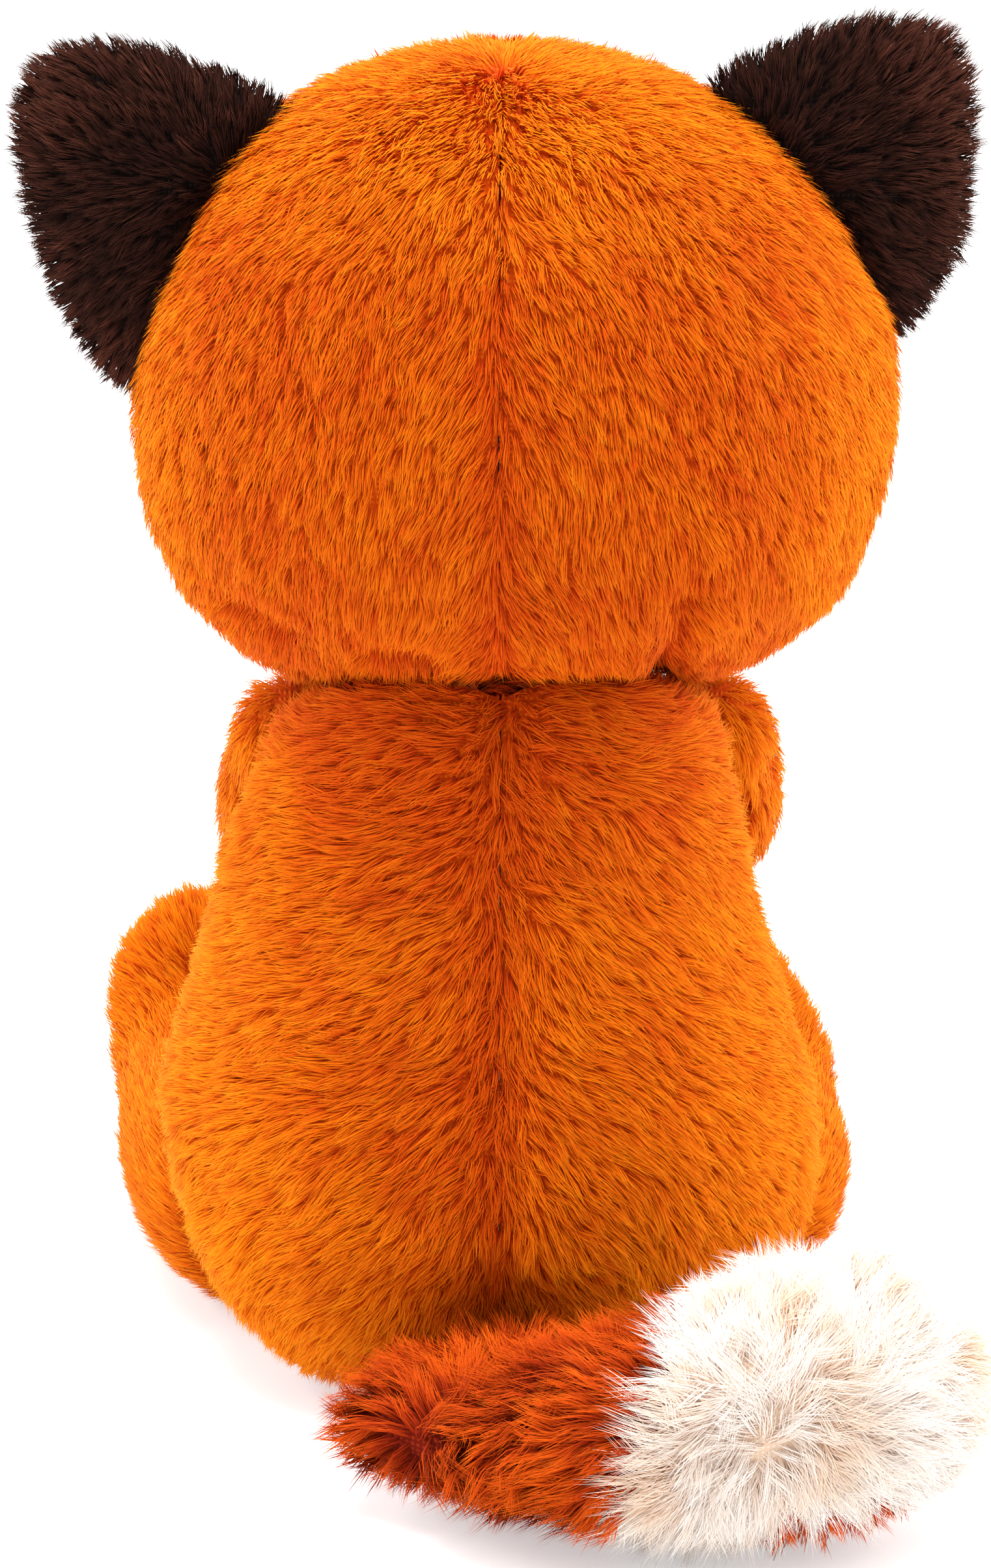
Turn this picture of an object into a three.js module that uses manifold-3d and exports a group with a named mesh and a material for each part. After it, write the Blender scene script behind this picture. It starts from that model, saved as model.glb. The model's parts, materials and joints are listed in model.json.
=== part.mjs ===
// A sitting plush fox. Sewn plush covers, cut in panels, hold fibre filling and a bag of pellets.
// The head, ears, arms, legs and tail flex at their seams.
// Sizes are in millimetres. +Z is up, the fox faces -Y, and its own left side is +X.
// The origin is the middle of the seat, on the surface that the toy sits on.
import * as THREE from "three";
import { mergeVertices } from "three/addons/utils/BufferGeometryUtils.js";
import Module from "manifold-3d";

const wasm = await Module();
wasm.setup();

// Cloth and clearances
const pileThickness = 4.6; // backing cloth and lying pile of the short plush
const longPileThickness = 8; // the same for the bushy plush of the tail
const earClothThickness = 4; // short plush on the back of the ears
const seamGap = 0.3; // between pieces that touch
const sweepRoom = 2.2; // between a limb and the curve of its neighbour
const earRoom = 0.6; // the same between an ear and the head
const overrun = 2; // how far a cutter runs past what it cuts
const tipRadius = 1; // the least radius that a rounded end closes with
const flatDepth = 0.5; // how much of a round underside is pressed flat by its own weight
const benchSize = 900; // side of the blocks that cut by a plane

// Body
const torsoHeight = 123;
const torsoHalfWidth = 57;
const torsoHalfDepth = 49;
const backCrease = 2.4; // how far the seam down the back is drawn in
const backSeamTurn = 4; // degrees that the seams up the back lie to the fox's left
const sideSeamAhead = 14; // the side seams, ahead of the middle of the body
const seatSeamRise = 7; // the seam round the seat panel, above what the toy sits on

// Head
const headHeight = 110;
const headHalfWidth = 66;
const headHalfDepth = 57;
const headForward = 4;
const headAside = 2.5; // how much fuller one cheek is than the other
const headCrease = 2.2;
const faceSeamAhead = 10; // the seam that joins the face to the back of the head, ahead of its middle
const cheekTop = 36; // where the pale cheeks meet on the middle line, above the neck
const cheekRise = 24; // degrees that the edge of each cheek climbs outwards

// Snout and nose
const snoutHalfWidth = 21;
const snoutHalfHeight = 15;
const snoutHalfLength = 17;
const snoutAbove = 27; // centre above the neck
const noseHalfWidth = 7.5;
const noseHalfHeight = 5.6;
const noseHalfDepth = 4.6;
const noseRise = 5.5; // above the centre of the snout

// Safety eyes
const eyeRadius = 7.2;
const eyeBulge = 4.4;
const eyeApart = 25; // each from the middle line
const eyeAbove = 51; // above the neck
const shankRadius = 1.9;
const washerRadius = 6.5;
const washerThickness = 1.6;

// Ears
const earLength = 56; // root to tip
const earRootDepth = 16; // how much of the ear's outline starts inside the head
const earHalfWidth = 27;
const earHalfThickness = 8;
const earLean = 43; // degrees outwards from upright
const earOut = 51; // middle of the root, from the middle line
const earUp = 79; // the same, above the neck
const earSetBack = 2; // the same, behind the middle of the head
const earHemRadius = 4; // the rolled hem that the ear flexes on
const earHemHalfLength = 17;
const earFlex = 10; // degrees that the ear bends either way

// Arms
const shoulderOut = 36;
const shoulderForward = 12;
const shoulderDrop = 15.5; // below the neck
const armRadius = 13;
const elbowOut = 38;
const elbowForward = 32;
const elbowDrop = 34;
const pawOut = 24;
const pawForward = 59;
const pawDrop = 50;
const pawShare = 0.68; // of the arm's length before the brown paw
const armSwing = 30;

// Legs
const hipOut = 39;
const hipForward = 8;
const hipRadius = 15;
const hipRise = 24;
const legRadius = 24;
const ankleOut = 47;
const ankleForward = 60;
const ankleRise = 23;
const footOut = 50;
const footForward = 84;
const footHalfWidth = 21;
const footHalfHeight = 32;
const footHalfLength = 16;
const footTurn = 12; // degrees that each foot points outwards
const soleThickness = 3;
const soleShare = 0.8; // of the foot's own width and height
const legLift = 16;

// Tail
const tailRootBack = 43;
const tailRootHeight = 20;
const tailRootRadius = 11;
const tailRadius = 27.5;
const tailFirstLength = 26; // straight back from the root
const tailFirstOut = 17; // how far it goes to the other side first
const tailMiddleBack = 98;
const tailMiddleOut = 25;
const tailTipBack = 72;
const tailTipOut = 67;
const tailHeight = 27.5; // of the middle line over what the toy sits on
const tailWhiteShare = 0.56; // of its length before the white
const tailSwing = 35;

// Filling
const bagHalfWidth = 21;
const bagHalfDepth = 30;
const bagHeight = 22;
const coreOffset = 3; // an arm's filling lies this far outwards, and a heel's this far back

const neckZ = torsoHeight;
const degrees = Math.PI / 180;
const origin = new THREE.Vector3(0, 0, 0);
const acrossX = new THREE.Vector3(1, 0, 0);
const alongY = new THREE.Vector3(0, 1, 0);
const up = new THREE.Vector3(0, 0, 1);
const down = new THREE.Vector3(0, 0, -1);
const acrossSeam = acrossX.clone().applyAxisAngle(up, -backSeamTurn * degrees);
const sides = [["left", 1], ["right", -1]];

const orangePlush = new THREE.MeshStandardMaterial({ color: 0xe0700f, roughness: 0.95, metalness: 0 });
const deepPlush = new THREE.MeshStandardMaterial({ color: 0xc8500c, roughness: 0.95, metalness: 0 });
const brownPlush = new THREE.MeshStandardMaterial({ color: 0x3b211a, roughness: 0.95, metalness: 0 });
const creamPlush = new THREE.MeshStandardMaterial({ color: 0xf2ebe0, roughness: 0.95, metalness: 0 });
const fibre = new THREE.MeshStandardMaterial({ color: 0xf4f4f0, roughness: 1, metalness: 0 });
const glossBlack = new THREE.MeshStandardMaterial({ color: 0x0c0a09, roughness: 0.12, metalness: 0 });
const clearPlastic = new THREE.MeshStandardMaterial({ color: 0xd8dad6, roughness: 0.5, metalness: 0 });
const pelletCloth = new THREE.MeshStandardMaterial({ color: 0xdedbd0, roughness: 0.9, metalness: 0 });

const fox = new THREE.Group();

// Solids

function toSolid(geometry) {
  const bare = geometry.clone();
  bare.deleteAttribute("normal");
  bare.deleteAttribute("uv");
  const merged = mergeVertices(bare);
  return new wasm.Manifold(new wasm.Mesh({
    numProp: 3,
    vertProperties: new Float32Array(merged.attributes.position.array),
    triVerts: new Uint32Array(merged.index.array),
  }));
}

function addPiece(name, solid, material) {
  const mesh = largest(solid).getMesh();
  const geometry = new THREE.BufferGeometry();
  geometry.setAttribute("position", new THREE.BufferAttribute(mesh.vertProperties, mesh.numProp));
  geometry.setIndex(new THREE.BufferAttribute(mesh.triVerts, 1));
  geometry.computeVertexNormals();
  const piece = new THREE.Mesh(geometry, material);
  piece.name = name;
  fox.add(piece);
}

// The main body of a cut solid, without crumbs that a cut leaves behind.
function largest(solid) {
  return solid.decompose().sort((a, b) => b.volume() - a.volume())[0];
}

// A block that fills everything on the side of a plane that its normal points to.
function halfSpace(point, normal) {
  const block = new THREE.BoxGeometry(benchSize, benchSize, benchSize);
  block.translate(0, 0, benchSize / 2);
  block.applyQuaternion(new THREE.Quaternion().setFromUnitVectors(up, normal.clone().normalize()));
  block.translate(point.x, point.y, point.z);
  return toSolid(block);
}

// Cuts a solid by a plane into the part ahead of it and the part behind, with a seam between them.
function partAt(solid, point, normal) {
  const half = normal.clone().normalize().multiplyScalar(seamGap / 2);
  const ahead = solid.intersect(halfSpace(point.clone().add(half), normal));
  const behind = solid.intersect(halfSpace(point.clone().sub(half), normal.clone().negate()));
  return [ahead, behind];
}

// Closes rings of points, listed from one end to the other, with a point at each end.
function skinOver(rings, startPoint, endPoint) {
  const around = rings[0].length;
  const points = [startPoint, ...rings.flat(), endPoint];
  const last = points.length - 1;
  const faces = [];
  for (let i = 0; i < around; i++) {
    const next = (i + 1) % around;
    faces.push(0, 1 + next, 1 + i);
    for (let ring = 0; ring + 1 < rings.length; ring++) {
      const low = 1 + ring * around;
      const high = low + around;
      faces.push(low + i, low + next, high + next, low + i, high + next, high + i);
    }
    const top = 1 + (rings.length - 1) * around;
    faces.push(last, top + i, top + next);
  }
  const geometry = new THREE.BufferGeometry();
  geometry.setFromPoints(points);
  geometry.setIndex(faces);
  return geometry;
}

function middleOf(ring) {
  return ring.reduce((sum, p) => sum.add(p), new THREE.Vector3()).divideScalar(ring.length);
}

// Carries a table of shares smoothly through a number of steps. Its first column is the place.
function smoothRows(rows, steps) {
  const columns = [];
  for (let column = 1; column < rows[0].length; column++) {
    columns.push(new THREE.CatmullRomCurve3(rows.map((row) => new THREE.Vector3(row[0], row[column], 0))));
  }
  return Array.from({ length: steps + 1 }, (_, i) => {
    const found = columns.map((curve) => curve.getPoint(i / steps));
    return [found[0].x, ...found.map((p) => p.y)];
  });
}

// A stuffed form that stands on its end: an oval at each height, with a crease drawn in down its back.
function standingForm(form, grow = 0) {
  const rings = smoothRows(form.shares, form.steps).map(([upShare, wide, deep, back]) => {
    const z = form.base - grow + upShare * (form.height + 2 * grow);
    const fuller = form.aside * Math.sin(Math.PI * upShare);
    return Array.from({ length: form.around }, (_, i) => {
      const angle = (2 * Math.PI * i) / form.around;
      const fromSeam = Math.atan2(Math.cos(angle), Math.sin(angle)) - backSeamTurn * degrees;
      const offSeam = fromSeam / form.creaseSpread;
      const drawnIn = form.crease * Math.exp(-offSeam * offSeam) * wide;
      const middle = back * form.halfDepth - form.forward;
      const x = Math.cos(angle) * Math.max(wide * form.halfWidth + grow, tipRadius) - fuller;
      const y = Math.sin(angle) * Math.max(deep * form.halfDepth + grow - drawnIn, tipRadius) + middle;
      return new THREE.Vector3(x, y, z);
    });
  });
  return skinOver(rings, middleOf(rings[0]), middleOf(rings[rings.length - 1]));
}

// A stuffed limb along a curve. Its rows give the share of its length and of its two half widths.
function limbForm(form, grow = 0) {
  const path = new THREE.CatmullRomCurve3(form.path);
  const rings = smoothRows(form.shares, form.steps).map(([along, wide, thick]) => {
    const share = Math.min(Math.max(along, 0), 1);
    const ahead = path.getTangentAt(share);
    const across = new THREE.Vector3().crossVectors(ahead, form.face).normalize();
    const through = new THREE.Vector3().crossVectors(ahead, across).normalize();
    const centre = path.getPointAt(share).addScaledVector(ahead, grow * (2 * share - 1));
    return Array.from({ length: form.around }, (_, i) => {
      const angle = (2 * Math.PI * i) / form.around;
      return centre.clone()
        .addScaledVector(across, Math.cos(angle) * Math.max(wide * form.halfWidth + grow, tipRadius))
        .addScaledVector(through, Math.sin(angle) * Math.max(thick * form.halfThickness + grow, tipRadius));
    });
  });
  return skinOver(rings, middleOf(rings[0]), middleOf(rings[rings.length - 1]));
}

// An oval ball that stands upright, turned about its upright axis.
function ball(centre, halfX, halfY, halfZ, around, turnZ = 0) {
  const geometry = new THREE.SphereGeometry(1, around, around / 2);
  geometry.rotateX(Math.PI / 2);
  geometry.scale(halfX, halfY, halfZ);
  geometry.rotateZ(turnZ);
  geometry.translate(centre.x, centre.y, centre.z);
  return geometry;
}

// A rod from one end to the other.
function rod(from, to, radius, around) {
  const geometry = new THREE.CylinderGeometry(radius, radius, from.distanceTo(to), around);
  const along = to.clone().sub(from).normalize();
  geometry.applyQuaternion(new THREE.Quaternion().setFromUnitVectors(alongY, along));
  const middle = from.clone().lerp(to, 0.5);
  geometry.translate(middle.x, middle.y, middle.z);
  return geometry;
}

const rootAround = 16;
const rootBands = 4;
const facetShare = Math.cos(Math.PI / rootAround); // how near a facet comes to the middle, to its corners

// The round root of a limb, with its poles on the axis that the limb turns about.
function rootBall(centre, radius, axis) {
  const geometry = new THREE.SphereGeometry(radius, rootAround, rootBands);
  geometry.applyQuaternion(new THREE.Quaternion().setFromUnitVectors(alongY, axis));
  geometry.translate(centre.x, centre.y, centre.z);
  return toSolid(geometry);
}

// The hollow that a root turns in: its facets stay outside the root's own corners.
function socket(centre, radius, axis) {
  return rootBall(centre, (radius + seamGap) / facetShare, axis);
}

// Cuts a moving piece so that it clears its neighbour at every step of its travel.
function clearOfSwing(piece, neighbour, pivot, axis, from, to, steps) {
  let left = piece;
  for (let i = 0; i <= steps; i++) {
    const angle = -(from + ((to - from) * i) / steps) * degrees;
    const matrix = new THREE.Matrix4().makeTranslation(pivot)
      .multiply(new THREE.Matrix4().makeRotationAxis(axis, angle))
      .multiply(new THREE.Matrix4().makeTranslation(pivot.clone().negate()));
    left = left.subtract(toSolid(neighbour.clone().applyMatrix4(matrix)));
  }
  return left;
}

// Forms of the body and the head: share of height, of width and depth, and how far the middle lies back

const torsoForm = {
  base: -flatDepth, height: torsoHeight + flatDepth - seamGap / 2,
  halfWidth: torsoHalfWidth, halfDepth: torsoHalfDepth, forward: 0,
  aside: 0, crease: backCrease, creaseSpread: 0.34, around: 18, steps: 9,
  shares: [
    [0, 0.54, 0.58, 0.02], [0.06, 0.74, 0.78, 0.02], [0.15, 0.9, 0.93, 0.01], [0.27, 1, 1, 0],
    [0.4, 0.98, 0.98, 0], [0.55, 0.88, 0.9, 0], [0.7, 0.79, 0.82, 0.01], [0.86, 0.73, 0.75, 0.02],
    [0.96, 0.67, 0.69, 0.02], [1, 0.58, 0.6, 0.02],
  ],
};

const headForm = {
  base: neckZ + seamGap / 2, height: headHeight,
  halfWidth: headHalfWidth, halfDepth: headHalfDepth, forward: headForward,
  aside: headAside, crease: headCrease, creaseSpread: 0.3, around: 18, steps: 10,
  shares: [
    [0, 0.53, 0.55, 0], [0.05, 0.7, 0.72, 0], [0.15, 0.87, 0.88, 0], [0.28, 0.97, 0.97, 0],
    [0.43, 1, 1, 0], [0.58, 0.98, 0.98, 0], [0.73, 0.88, 0.89, 0], [0.86, 0.69, 0.7, 0],
    [0.95, 0.44, 0.45, 0], [0.988, 0.22, 0.24, 0], [1, 0.04, 0.04, 0],
  ],
};

// The space inside a cover: the same form, plainer and smaller by the cloth
const within = (form, cloth) => toSolid(standingForm({ ...form, around: 12, steps: 6 }, -cloth));

// What the limbs and the ears keep clear of: the same forms, a little larger
const torsoRoom = standingForm({ ...torsoForm, crease: 0, around: 16, steps: 8 }, sweepRoom);
const headRoom = standingForm({ ...headForm, crease: 0 }, earRoom);

const floorBelow = halfSpace(origin, down);
const clothTop = new THREE.Vector3(0, 0, pileThickness - flatDepth + seamGap);

// The middle of each root
const shoulder = (side) => new THREE.Vector3(side * shoulderOut, -shoulderForward, neckZ - shoulderDrop);
const hip = (side) => new THREE.Vector3(side * hipOut, -hipForward, hipRise);
const tailRoot = new THREE.Vector3(0, tailRootBack, tailRootHeight);
const earRoot = (side) => new THREE.Vector3(side * earOut, earSetBack - headForward, neckZ + earUp);
const earOutwards = (side) =>
  new THREE.Vector3(side * Math.sin(earLean * degrees), 0, Math.cos(earLean * degrees));
const earHinge = (side) =>
  new THREE.Vector3(side * Math.cos(earLean * degrees), 0, -Math.sin(earLean * degrees));

function earHem(side, radius, halfLength) {
  const reach = earHinge(side).multiplyScalar(halfLength);
  return toSolid(rod(earRoot(side).sub(reach), earRoot(side).add(reach), radius, rootAround));
}

function withSockets(solid) {
  let left = solid.subtract(socket(tailRoot, tailRootRadius, up));
  for (const [, side] of sides) {
    left = left.subtract(socket(shoulder(side), armRadius, acrossX));
    left = left.subtract(socket(hip(side), hipRadius, acrossX));
  }
  return left;
}

function buildTorso() {
  const outer = toSolid(standingForm(torsoForm)).subtract(floorBelow);
  const cover = withSockets(outer.subtract(within(torsoForm, pileThickness)));
  const [upper, seat] = partAt(cover, new THREE.Vector3(0, 0, seatSeamRise), up);
  const [back, belly] = partAt(upper, new THREE.Vector3(0, -sideSeamAhead, 0), alongY);
  const [backLeft, backRight] = partAt(back, origin, acrossSeam);
  addPiece("back_panel_left", backLeft, orangePlush);
  addPiece("back_panel_right", backRight, orangePlush);
  addPiece("belly_panel", belly, creamPlush);
  addPiece("seat_panel", seat, orangePlush);

  // The bag of pellets weighs down the seat. The filling lies round it and over it.
  const bagCentre = new THREE.Vector3(0, 0, pileThickness - flatDepth + bagHeight / 2);
  const bag = (grow) =>
    toSolid(ball(bagCentre, bagHalfWidth + grow, bagHalfDepth + grow, bagHeight / 2 + grow, 14));
  const bagWell = toSolid(rod(bagCentre, new THREE.Vector3(0, 0, -overrun), bagHalfDepth / 2, 8));
  const filling = withSockets(within(torsoForm, pileThickness + seamGap));
  addPiece("body_filling", filling.subtract(bag(seamGap)).subtract(bagWell), fibre);
  addPiece("pellet_bag", bag(0).intersect(halfSpace(clothTop, up)), pelletCloth);
}

const faceSteps = 200;

// Where the front of the head lies at a place across it and above the neck.
function faceAt(x, above) {
  const row = smoothRows(headForm.shares, faceSteps).find((r) => r[0] * headHeight >= above);
  const across = x / (row[1] * headHalfWidth);
  return -headForward - row[2] * headHalfDepth * Math.sqrt(1 - across * across);
}

const snoutCentre = new THREE.Vector3(0, faceAt(0, snoutAbove) + snoutHalfLength / 4, neckZ + snoutAbove);
const snout = (grow) =>
  toSolid(ball(snoutCentre, snoutHalfWidth + grow, snoutHalfLength + grow, snoutHalfHeight + grow, 12));

// A safety eye or nose: a moulded button on a shank that a washer holds inside the cover.
function buildButton(name, at, outward, button) {
  const place = (depth) => at.clone().addScaledVector(outward, -depth);
  const washerTop = pileThickness + seamGap;
  const shankEnd = washerTop + 2 * washerThickness;
  const shank = toSolid(rod(place(-eyeBulge / 2), place(shankEnd), shankRadius, 10));
  addPiece(name, button.add(shank), glossBlack);
  const hole = toSolid(rod(place(-eyeBulge), place(shankEnd + overrun), shankRadius + seamGap, 10));
  const washer = toSolid(rod(place(washerTop), place(washerTop + washerThickness), washerRadius, 14));
  addPiece(name + "_washer", washer.subtract(hole), clearPlastic);
  // The washer presses the cloth flat in front of it and the filling back behind it.
  const pressedFrom = (depth) =>
    toSolid(rod(place(depth), place(shankEnd + seamGap), washerRadius + seamGap, 14));
  return { hole: hole.add(pressedFrom(pileThickness)), pocket: pressedFrom(0) };
}

function buildHead() {
  const outer = toSolid(standingForm(headForm));
  const inner = within(headForm, pileThickness);
  const fixings = [];
  for (const [name, side] of sides) {
    const x = side * eyeApart;
    const at = new THREE.Vector3(x, faceAt(x, eyeAbove), neckZ + eyeAbove);
    const step = headHeight / 50;
    const slopeX = (faceAt(x + step, eyeAbove) - at.y) / step;
    const slopeZ = (faceAt(x, eyeAbove + step) - at.y) / step;
    const outward = new THREE.Vector3(slopeX, -1, slopeZ).normalize();
    const dome = ball(origin, eyeRadius, eyeRadius, eyeBulge, 16);
    dome.applyQuaternion(new THREE.Quaternion().setFromUnitVectors(up, outward));
    dome.translate(at.x, at.y, at.z);
    const ahead = halfSpace(at.clone().addScaledVector(outward, seamGap), outward);
    fixings.push(buildButton("eye_" + name, at, outward, toSolid(dome).intersect(ahead)));
  }
  const noseTilt = noseRise / snoutHalfHeight;
  const noseY = snoutCentre.y - snoutHalfLength * Math.cos(noseTilt);
  const noseAt = new THREE.Vector3(0, noseY, snoutCentre.z + noseRise);
  const noseOut = new THREE.Vector3(0, -Math.cos(noseTilt), Math.sin(noseTilt));
  const nose = toSolid(ball(noseAt, noseHalfWidth, noseHalfDepth, noseHalfHeight, 14));
  fixings.push(buildButton("nose", noseAt, noseOut, nose.subtract(snout(seamGap))));
  const pierced = (solid) => fixings.reduce((left, fixing) => left.subtract(fixing.hole), solid);

  let cover = outer.subtract(inner).subtract(snout(-pileThickness));
  let packed = within(headForm, pileThickness + seamGap).add(snout(-pileThickness - seamGap));
  for (const [, side] of sides) {
    const groove = earHem(side, (earHemRadius + seamGap) / facetShare, earHemHalfLength + seamGap);
    cover = cover.subtract(groove);
    packed = packed.subtract(groove);
  }
  const faceSeam = new THREE.Vector3(0, -headForward - faceSeamAhead, 0);
  const [back, front] = partAt(cover, faceSeam, alongY);
  const [backLeft, backRight] = partAt(back, origin, acrossSeam);
  addPiece("head_back_left", backLeft, orangePlush);
  addPiece("head_back_right", backRight, orangePlush);

  // Each pale cheek lies below a plane that climbs outwards from the middle line.
  const cheekPoint = new THREE.Vector3(0, 0, neckZ + cheekTop);
  let forehead = front;
  for (const [name, side] of sides) {
    const below = down.clone().applyAxisAngle(alongY, -side * cheekRise * degrees);
    const [cheeks] = partAt(front, cheekPoint, below);
    const [cheek] = partAt(cheeks, origin, acrossX.clone().multiplyScalar(side));
    addPiece("cheek_" + name, pierced(cheek), creamPlush);
    [, forehead] = partAt(forehead, cheekPoint, below);
  }
  addPiece("forehead", pierced(forehead), orangePlush);

  const snoutCover = snout(0).subtract(snout(-pileThickness));
  const headAround = toSolid(standingForm(headForm, seamGap));
  addPiece("snout", pierced(snoutCover.subtract(headAround)), creamPlush);
  addPiece("head_filling", fixings.reduce((left, fixing) => left.subtract(fixing.pocket), packed), fibre);
}

function buildEar(name, side) {
  const root = earRoot(side);
  const start = root.clone().addScaledVector(earOutwards(side), -earRootDepth);
  const tip = start.clone().addScaledVector(earOutwards(side), earLength);
  const form = {
    path: [start, start.clone().lerp(tip, 0.5), tip], face: alongY,
    halfWidth: earHalfWidth, halfThickness: earHalfThickness, around: 14, steps: 7,
    // a rounded triangle, thickest near its root
    shares: [
      [0, 0.94, 0.9], [0.2, 1, 1], [0.42, 0.95, 0.95], [0.62, 0.8, 0.82],
      [0.8, 0.58, 0.66], [0.93, 0.34, 0.44], [1, 0.06, 0.08],
    ],
  };
  const bare = clearOfSwing(toSolid(limbForm(form)), headRoom, root, earHinge(side), -earFlex, earFlex, 2);
  const ear = bare.add(earHem(side, earHemRadius, earHemHalfLength));
  const lining = root.clone().addScaledVector(alongY, earHalfThickness - earClothThickness - earHemRadius);
  const [back, front] = partAt(ear, lining, alongY);
  addPiece("ear_back_" + name, back, brownPlush);
  addPiece("ear_lining_" + name, front, brownPlush);
}

function buildArm(name, side) {
  const root = shoulder(side);
  const elbow = new THREE.Vector3(side * elbowOut, -elbowForward, neckZ - elbowDrop);
  const paw = new THREE.Vector3(side * pawOut, -pawForward, neckZ - pawDrop);
  const arm = {
    path: [root, elbow, paw], face: acrossX, halfWidth: armRadius, halfThickness: armRadius,
    around: 12, steps: 7,
    shares: [
      [0, 0.5, 0.5], [0.06, 0.86, 0.86], [0.2, 0.97, 0.97], [0.45, 1, 1], [0.7, 1, 1],
      [0.86, 0.88, 0.88], [0.95, 0.62, 0.62], [1, 0.1, 0.1],
    ],
  };
  const swingAxis = acrossX.clone().negate();
  const swung = clearOfSwing(toSolid(limbForm(arm)), torsoRoom, root, swingAxis, 0, armSwing, 3);
  const outer = swung.add(rootBall(root, armRadius, acrossX));
  const outwards = new THREE.Vector3(side * coreOffset, 0, 0);
  const core = {
    ...arm, path: [root.clone().add(outwards), elbow.clone().add(outwards), paw],
    halfWidth: armRadius - pileThickness, halfThickness: armRadius - pileThickness, around: 10, steps: 5,
    shares: [[0.36, 0.3, 0.3], [0.52, 0.7, 0.7], [0.7, 0.95, 0.95], [0.88, 0.7, 0.7], [0.94, 0.3, 0.3]],
  };
  const curve = new THREE.CatmullRomCurve3(arm.path);
  const [pawCover, sleeve] = partAt(outer.subtract(toSolid(limbForm(core))),
    curve.getPointAt(pawShare), curve.getTangentAt(pawShare));
  addPiece("arm_" + name, sleeve, orangePlush);
  addPiece("paw_" + name, pawCover, brownPlush);
  addPiece("arm_filling_" + name, toSolid(limbForm(core, -seamGap)), fibre);
}

function buildLeg(name, side) {
  const root = hip(side);
  const ankle = new THREE.Vector3(side * ankleOut, -ankleForward, ankleRise);
  const foot = new THREE.Vector3(side * footOut, -footForward, footHalfHeight - flatDepth);
  const turnOut = side * footTurn * degrees;
  const leg = {
    path: [root, root.clone().lerp(ankle, 0.5), ankle, foot], face: acrossX,
    halfWidth: legRadius, halfThickness: legRadius, around: 16, steps: 6,
    shares: [
      [0, 0.6, 0.6], [0.1, 0.9, 0.9], [0.3, 1, 1], [0.6, 0.96, 0.96], [0.8, 0.86, 0.86], [1, 0.74, 0.74],
    ],
  };
  const footBall = ball(foot, footHalfWidth, footHalfLength, footHalfHeight, 16, turnOut);
  const whole = toSolid(limbForm(leg)).add(toSolid(footBall));
  const liftAxis = acrossX.clone().negate();
  const swung = clearOfSwing(whole, torsoRoom, root, liftAxis, 0, legLift, 2);
  const outer = swung.add(rootBall(root, hipRadius, acrossX)).subtract(floorBelow);

  // The sole is an oval pad on the flat front of the foot.
  const forward = new THREE.Vector3(0, -1, 0).applyAxisAngle(up, turnOut);
  const soleAhead = Math.sqrt(1 - soleShare * soleShare) * footHalfLength;
  const soleFlat = foot.clone().addScaledVector(forward, soleAhead);
  const [, cover] = partAt(outer, soleFlat, forward);
  const padHalfWidth = soleShare * footHalfWidth;
  const pad = ball(soleFlat, padHalfWidth, soleThickness, soleShare * footHalfHeight, 14, turnOut);
  const [sole] = partAt(toSolid(pad), soleFlat, forward);
  const heel = ankle.clone().addScaledVector(alongY, coreOffset);
  const core = {
    ...leg, path: [heel, foot, foot.clone().addScaledVector(forward, footHalfLength)],
    halfWidth: footHalfWidth - pileThickness, halfThickness: footHalfWidth - pileThickness,
    around: 10, steps: 4,
    shares: [[0, 0.5, 0.5], [0.25, 0.9, 0.9], [0.6, 1, 1], [1, 0.9, 0.9]],
  };
  const [, filling] = partAt(toSolid(limbForm(core, -seamGap)), soleFlat, forward);
  addPiece("leg_" + name, cover.subtract(toSolid(limbForm(core))), orangePlush);
  addPiece("sole_" + name, sole, brownPlush);
  addPiece("leg_filling_" + name, filling, fibre);
}

function buildTail() {
  const climb = (tailHeight - tailRootHeight) / 2;
  const first = tailRoot.clone().add(new THREE.Vector3(tailFirstOut, tailFirstLength, climb));
  const middle = new THREE.Vector3(-tailMiddleOut, tailMiddleBack, tailHeight);
  const tip = new THREE.Vector3(-tailTipOut, tailTipBack, tailHeight);
  const tail = {
    path: [tailRoot, first, middle, tip], face: up,
    halfWidth: tailRadius, halfThickness: tailRadius, around: 16, steps: 9,
    // narrow at the root, fullest in the white brush
    shares: [
      [0, 0.38, 0.38], [0.12, 0.6, 0.6], [0.3, 0.7, 0.7], [0.5, 0.84, 0.84], [0.68, 0.98, 0.98],
      [0.82, 0.98, 0.98], [0.92, 0.78, 0.78], [0.98, 0.42, 0.42], [1, 0.12, 0.12],
    ],
  };
  const outer = clearOfSwing(toSolid(limbForm(tail)), torsoRoom, tailRoot, down, 0, tailSwing, 3)
    .add(rootBall(tailRoot, tailRootRadius, up)).subtract(floorBelow);
  const core = {
    ...tail, halfWidth: tailRadius - longPileThickness, halfThickness: tailRadius - longPileThickness,
    around: 10, steps: 7,
    shares: [
      [0.14, 0.3, 0.3], [0.35, 0.6, 0.6], [0.55, 0.9, 0.9], [0.72, 1, 1], [0.84, 0.75, 0.75],
      [0.92, 0.3, 0.3],
    ],
  };
  const curve = new THREE.CatmullRomCurve3(tail.path);
  const [brush, base] = partAt(outer.subtract(toSolid(limbForm(core))),
    curve.getPointAt(tailWhiteShare), curve.getTangentAt(tailWhiteShare));
  addPiece("tail_brush", brush, creamPlush);
  addPiece("tail_base", base, deepPlush);
  addPiece("tail_filling", toSolid(limbForm(core, -seamGap)), fibre);
}

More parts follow.
